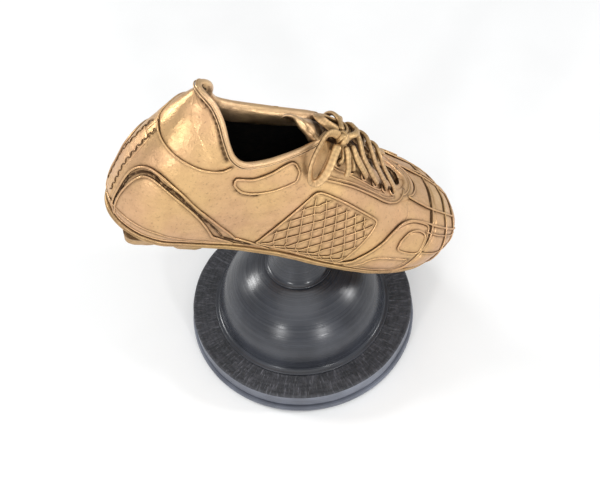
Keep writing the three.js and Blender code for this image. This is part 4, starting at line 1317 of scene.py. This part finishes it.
def knot():
    """Three wraps of lace pulled tight round each other."""
    s, g = 94, 0.862
    centre, up = above(s, g, 4.4), outward(s, g)
    forward = unit(np.cross([0, 1, 0], up))
    across = np.cross(up, forward)
    piece = Piece()
    turn = full_turn(44)
    wraps = [(0.0, 2.5, 2.0, 0.0), (0.9, 2.3, 1.9, 0.9), (-0.8, 2.2, 1.8, -0.8)]
    for lean, tall, wide, shift in wraps:
        axis = unit(forward * math.cos(lean) + across * math.sin(lean))
        flat = np.cross(up, axis)
        ring = centre + axis * shift
        ring = ring + tall * np.cos(turn)[:, None] * flat + wide * np.sin(turn)[:, None] * up
        ring = ring + axis * (0.5 * np.sin(2 * turn))[:, None]
        outside = unit(ring - centre)
        points, faces = sweep(ring, outside, oval(2.5, 1.5, 14), closed=True)
        points = points + 0.12 * unit(points - centre) * value_noise(points, 1.1, 71)[..., None]
        piece.add(points, faces, 0.2)
    return piece.make("lace_knot", "lace_bronze", lace_bronze)


# ---------------------------------------------------------------- the base
SIDES = 256


def lathe(corners, sides=SIDES, wobble=None):
    """Points and faces of a turned body, from (radius, height) corners all round its half section."""
    outline = np.array(corners, float)
    turn = full_turn(sides)
    radius = np.repeat(outline[:, :1], sides, 1)
    if wobble is not None:
        radius = radius + wobble(outline, turn)
    points = np.stack([radius * np.cos(turn), radius * np.sin(turn), np.repeat(outline[:, 1:], sides, 1)], -1)
    return points, tube_faces(len(outline), sides, closed=True)


def arc(centre, radius, start, end, count=6):
    """(radius, height) points on an arc, in degrees from the outward direction."""
    turn = np.radians(np.linspace(start, end, count))
    return [(centre[0] + radius * math.cos(a), centre[1] + radius * math.sin(a)) for a in turn]


def lower_round(radius, bottom, by, count=6):
    """A turned body's bottom outer corner, rounded."""
    return arc((radius - by, bottom + by), by, -90, 0, count)


def upper_round(radius, top, by, count=6):
    return arc((radius - by, top - by), by, 0, 90, count)


def extent(node):
    """A CAD node's radius, bottom and top, in millimetres."""
    low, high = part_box(node)
    return (high.x - low.x) / 2 / MM, low.z / MM, high.z / MM


# How far the neck stays below the sole's plane, and the wedge washer above the insole.
GAP = 0.3
ROD_HOLE = 3.3


def felt_pad():
    radius, bottom, top = extent("felt_pad")
    corners = [(0.5, bottom), (radius * 0.5, bottom), *lower_round(radius, bottom, 0.5, 4)]
    corners += [*upper_round(radius, top, 0.4, 4), (radius * 0.5, top), (0.5, top)]

    def frayed(outline, turn):
        rim = np.clip((outline[:, :1] - radius + 1.5) / 1.5, 0, 1)
        return rim * 0.35 * rim_noise(radius, turn, 1.4, 81)

    return Piece(as_it_is).add(*lathe(corners, wobble=frayed)).make("felt_pad", "felt", felt)


def foot_disc():
    radius, bottom, top = extent("foot_disc")
    access = 11
    corners = [(access, top), (access, bottom), (radius * 0.6, bottom), *lower_round(radius, bottom, 0.7)]
    corners += [*upper_round(radius, top, 0.9, 8), (radius - 2.2, top)]
    corners += [(radius - 3.2, top - 0.25), (radius * 0.5, top - 0.25)]
    disc = Piece(as_it_is).add(*lathe(corners, wobble=turning_marks(radius)))
    return disc.make("foot_disc", "black_lacquer", edge_lacquer_painted_reflection, sharp=40)


def turning_marks(rim, depth=0.06):
    """A slightly uneven edge, as a hand-turned and sprayed disc has."""

    def wobble(outline, turn):
        share = np.clip((outline[:, :1] - rim + 4) / 4, 0, 1)
        return share * depth * rim_noise(rim, turn, 7, 82)

    return wobble


def rim_noise(radius, turn, size, seed):
    """Smooth noise round a disc's rim, for each angle."""
    ring = np.stack([np.cos(turn), np.sin(turn), 0 * turn], -1) * radius
    return value_noise(ring, size, seed)[None]


def plinth_disc():
    radius, bottom, top = extent("plinth_disc")
    groove, recess, depth = radius - 1.2, 9, 4.6
    dome_lip = extent("dome")[0]
    corners = [(recess, bottom), (groove, bottom), (groove, bottom + 0.9)]
    corners += [*lower_round(radius, bottom + 1, 0.7), (radius, (bottom + top) / 2)]
    corners += upper_round(radius, top, 1.1, 9)
    steps = np.linspace(radius - 1.6, dome_lip - 1, 26)
    corners += [(r, top - 0.05 * math.sin(3.0 * (radius - r))) for r in steps]
    corners += [(ROD_HOLE, top), (ROD_HOLE, bottom + depth), (recess, bottom + depth)]
    sides = 420
    points, faces = lathe(corners, sides, wobble=turning_marks(radius, 0.12))
    x, y, z = np.moveaxis(points, -1, 0)
    reach, angle = np.hypot(x, y), np.arctan2(y, x)
    chips = np.clip(value_noise(np.stack([angle * 55, reach * 0.3, z], -1), 1.0, 91) - 0.15, 0, 1) * 0.22
    chips += 0.07 * value_noise(points, 1.6, 92)
    uncovered = reach > dome_lip - 2
    points[..., 2] += np.where((z > top - 0.3) & uncovered, chips, 0)
    faces = np.array(faces)
    upper = np.array([height >= top - 0.9 for _, height in corners])
    worn = upper[faces[:, 0] // sides] & uncovered.reshape(-1)[faces[:, 0]]
    piece = Piece(as_it_is).add(points, faces[~worn].tolist())
    piece.add_faces(faces[worn].tolist(), 1, before=piece.count)
    return piece.make("plinth_disc", "black_lacquer", edge_lacquer_painted_reflection, scuffed, sharp=50)


def bead(lip, bottom):
    """The bottom of a piece that stands on another with a small round lip."""
    return [(ROD_HOLE, bottom), (lip - 0.4, bottom), *arc((lip - 0.45, bottom + 0.5), 0.45, -90, 90, 7)]


def dome():
    lip, bottom, top = extent("dome")
    radius, height, sink, seat = lip - 2.4, 40.5, 2.2, 17.6
    corners = [*bead(lip, bottom), (lip - 1.2, bottom + 1.05), (radius + 0.4, bottom + 1.25)]
    first, last = math.asin((sink + 2.0) / height), math.acos(seat / radius)
    for turn in np.linspace(first, last, 60):
        corners.append((radius * math.cos(turn), bottom - sink + height * math.sin(turn)))
    corners += [(seat - 1, top), (ROD_HOLE, top)]
    return Piece(as_it_is).add(*lathe(corners)).make("dome", "black_lacquer", lacquer, sharp=50)


def boot_level(points, height):
    """How high a level plane of the boot stands over each point of the trophy's frame."""
    normal = boot_turn[:, 2]
    origin = boot_to_frame(np.array([BOOT["pivot_x"], 0, height]))
    slope = (points[..., 0] - origin[0]) * normal[0] + (points[..., 1] - origin[1]) * normal[1]
    return origin[2] - slope / normal[2]


def neck():
    bottom, lip, waist = extent("neck")[1], 17.1, 9.2
    flare, stem_from, stem = lip - 1.6 - waist, bottom + 25.6, 14
    corners = bead(lip, bottom)
    for share in np.linspace(0, 1, 22):
        corners.append((waist + flare * (1 - share) ** 2.2, bottom + 1.3 + 24.3 * share))
    corners += [(waist, stem_from + stem * share) for share in np.linspace(0.1, 1, 8)]
    corners.append((ROD_HOLE, stem_from + stem))
    points, faces = lathe(corners, 128)
    # The stem is stretched so that its top lies along the sole.
    z = points[..., 2]
    stretched = stem_from + np.clip((z - stem_from) / stem, 0, 1) * (boot_level(points, -GAP) - stem_from)
    points[..., 2] = np.where(z > stem_from, stretched, z)
    return Piece(as_it_is).add(points, faces).make("neck", "black_lacquer", lacquer, sharp=50)


# ---------------------------------------------------------------- fasteners
def threaded_rod():
    """A studding rod, with its thread cut where the nuts sit."""
    radius, bottom, top = extent("threaded_rod")
    pitch, depth, sides = 1.0, 0.35, 24
    plain_from, plain_to = bottom + 14, top - 24
    z = np.concatenate([
        np.arange(bottom, plain_from, pitch / 6), np.linspace(plain_from, plain_to, 12)[:-1],
        np.arange(plain_to, top, pitch / 6),
    ])
    turn = full_turn(sides)
    phase = (z[:, None] / pitch - turn[None] / (2 * math.pi)) % 1
    cut = depth * (1 - np.abs(2 * phase - 1))
    inside = (z[:, None] > plain_from) & (z[:, None] < plain_to)
    ends = np.clip(np.minimum(z - bottom, top - z) / 0.8, 0, 1)[:, None]
    ring = np.where(inside, radius - 0.1, radius - cut) * (0.75 + 0.25 * ends)
    points = np.stack([ring * np.cos(turn), ring * np.sin(turn), np.repeat(z[:, None], sides, 1)], -1)
    return Piece(as_it_is).add(points, tube_faces(len(z), sides)).make("threaded_rod", "steel", steel)


def hex_nut(node):
    """A hexagon nut, chamfered top and bottom, with a bore."""
    _, bottom, top = extent(node)
    flat, sides = 5.6 * math.cos(math.pi / 6), 72
    turn = full_turn(sides)
    hexagon = flat / np.cos((turn + math.pi / 6) % (math.pi / 3) - math.pi / 6)
    bevel = np.clip(hexagon - flat - 0.05, 0, None) * math.tan(math.radians(30))
    face = np.minimum(hexagon, flat + 0.05)
    rows = [
        (np.full(sides, ROD_HOLE), bottom), (np.full(sides, ROD_HOLE + 0.5), bottom), (face, bottom),
        (hexagon, bottom + bevel), (hexagon, top - bevel), (face, top),
        (np.full(sides, ROD_HOLE + 0.5), top), (np.full(sides, ROD_HOLE), top - 0.4),
    ]
    points = [np.stack([r * np.cos(turn), r * np.sin(turn), np.full(sides, z)], -1) for r, z in rows]
    nut = Piece(as_it_is).add(np.stack(points), tube_faces(len(rows), sides, closed=True))
    return nut.make(node, "steel", steel, sharp=25)


def flat_washer(node):
    radius, bottom, top = extent(node)
    corners = [(ROD_HOLE, bottom), *lower_round(radius, bottom, 0.3, 4)]
    corners += [*upper_round(radius, top, 0.5, 5), (ROD_HOLE, top)]
    return Piece(as_it_is).add(*lathe(corners, 96)).make(node, "steel", steel, sharp=40)


def wedge_washer():
    """A washer cut on the slope of the insole, so that the nut above it sits level."""
    radius, (_, bottom, top) = 6.6, extent("wedge_washer")
    corners = [
        (ROD_HOLE, top - 1), (ROD_HOLE, bottom), (radius, bottom), (radius, bottom + 1),
        (radius, top - 1.2),
    ]
    corners += [*upper_round(radius, top, 0.6, 5), (ROD_HOLE, top)]
    points, faces = lathe(corners, 96)
    seat = boot_level(points, INSOLE_TOP + GAP)
    points[..., 2] = np.where(points[..., 2] < bottom + 2, seat, np.maximum(points[..., 2], seat + 0.2))
    return Piece(as_it_is).add(points, faces).make("wedge_washer", "steel", steel, sharp=40)


# ---------------------------------------------------------------- making it all
upper_part("quarter_lateral", [False], True, 250)
upper_part("quarter_medial", [True], True, 250)
upper_part("vamp", [False, True], False, 160)
outsole()
insole()
tongue()
collar()
eyestay()
toe_cap()
for name, panel in side_panels.items():
    panel_piece(name, panel)
for name, panel in SPREAD_PANELS.items():
    panel_piece(name, panel, rise=0.4)
for number in range(1, 5):
    stud(f"heel_stud_{number}", 17, 8, 5.0, 3.2)
for number in range(1, 7):
    stud(f"forefoot_stud_{number}", 9.8, 9.8, 5.5, 2.0)
for number, route in enumerate(LACE_OVER, 1):
    strand(f"lace_over_{number}", route)
    strand(f"lace_under_{number}", lace_under(EYELETS[number]))
for name, controls in LACE_ENDS.items():
    shape = {"width": 3.6, "thickness": 1.6, "twist": 0.7} if "loop" in name else {}
    strand(name, controls, **shape)
knot()
felt_pad()
foot_disc()
plinth_disc()
dome()
neck()
threaded_rod()
flat_washer("base_washer")
hex_nut("base_nut")
wedge_washer()
hex_nut("boot_nut")

# ---------------------------------------------------------------- floor, camera and light
base_radius = extent("foot_disc")[0] * MM
scene = bpy.context.scene
scene.view_settings.view_transform = "Standard"


def stage_floor():
    """A wide pale board with a faint grain."""
    look = Look("pale_floor")
    tone = look.mix(look.span(look.noise(9, 3.0), 0.35, 0.65), (0.91, 0.91, 0.905), (0.94, 0.94, 0.935))
    look.shade(Base_Color=tone, Roughness=0.6)
    half = 30 * base_radius
    mesh = bpy.data.meshes.new("floor")
    mesh.from_pydata([
        (-half, -half, 0), (half, -half, 0), (half, half, 0), (-half, half, 0),
    ], [], [(0, 1, 2, 3)])
    mesh.materials.append(look.material)
    floor = bpy.data.objects.new("floor", mesh)
    scene.collection.objects.link(floor)


def toward(azimuth, elevation):
    """A direction from the base, in degrees round from +X and up from the floor."""
    a, e = math.radians(azimuth), math.radians(elevation)
    return Vector((math.cos(a) * math.cos(e), math.sin(a) * math.cos(e), math.sin(e)))


def soft_light(name, azimuth, elevation, distance, size, power):
    data = bpy.data.lights.new(name, "AREA")
    data.shape = "DISK"
    data.size = size
    data.energy = power
    lamp = bpy.data.objects.new(name, data)
    lamp.location = toward(azimuth, elevation) * distance
    lamp.rotation_mode = "QUATERNION"
    lamp.rotation_quaternion = (-toward(azimuth, elevation)).to_track_quat("-Z", "Y")
    scene.collection.objects.link(lamp)


def studio_light():
    world = bpy.data.worlds.new("studio")
    world.use_nodes = True
    world.node_tree.nodes["Background"].inputs["Color"].default_value = (0.97, 0.985, 1.0, 1.0)
    world.node_tree.nodes["Background"].inputs["Strength"].default_value = 0.58
    scene.world = world
    soft_light("left_window", -133.8, 18.9, 1.2, 0.12, 3.0)
    soft_light("front_window", -79.8, 17.3, 1.2, 0.12, 3.2)
    soft_light("far_left_window", 148.6, 28.7, 1.3, 0.3, 5.5)
    soft_light("right_window", -17.9, 26.9, 1.3, 0.2, 4.4)
    soft_light("ceiling", -110, 66, 1.3, 1.4, 5.0)


def set_camera():
    """The camera looks down on the trophy from the front, a little from its heel side."""
    distance, elevation, turned, roll = 8.71 * base_radius, 54.7, -12.7, -4.45
    turn = Matrix.Rotation(math.radians(turned), 3, "Z")
    aim = turn @ Vector((0.022 * base_radius, 0.778 * base_radius, 0))
    back = turn @ toward(-90, elevation)
    right = turn @ Vector((1, 0, 0))
    frame_axes = Matrix((right, back.cross(right), back)).transposed()
    data = bpy.data.cameras.new("camera")
    data.lens = 54
    data.sensor_width = 36
    camera = bpy.data.objects.new("camera", data)
    camera.location = aim + back * distance
    camera.rotation_mode = "QUATERNION"
    camera.rotation_quaternion = (frame_axes @ Matrix.Rotation(math.radians(roll), 3, "Z")).to_quaternion()
    scene.collection.objects.link(camera)
    scene.camera = camera


stage_floor()
studio_light()
set_camera()
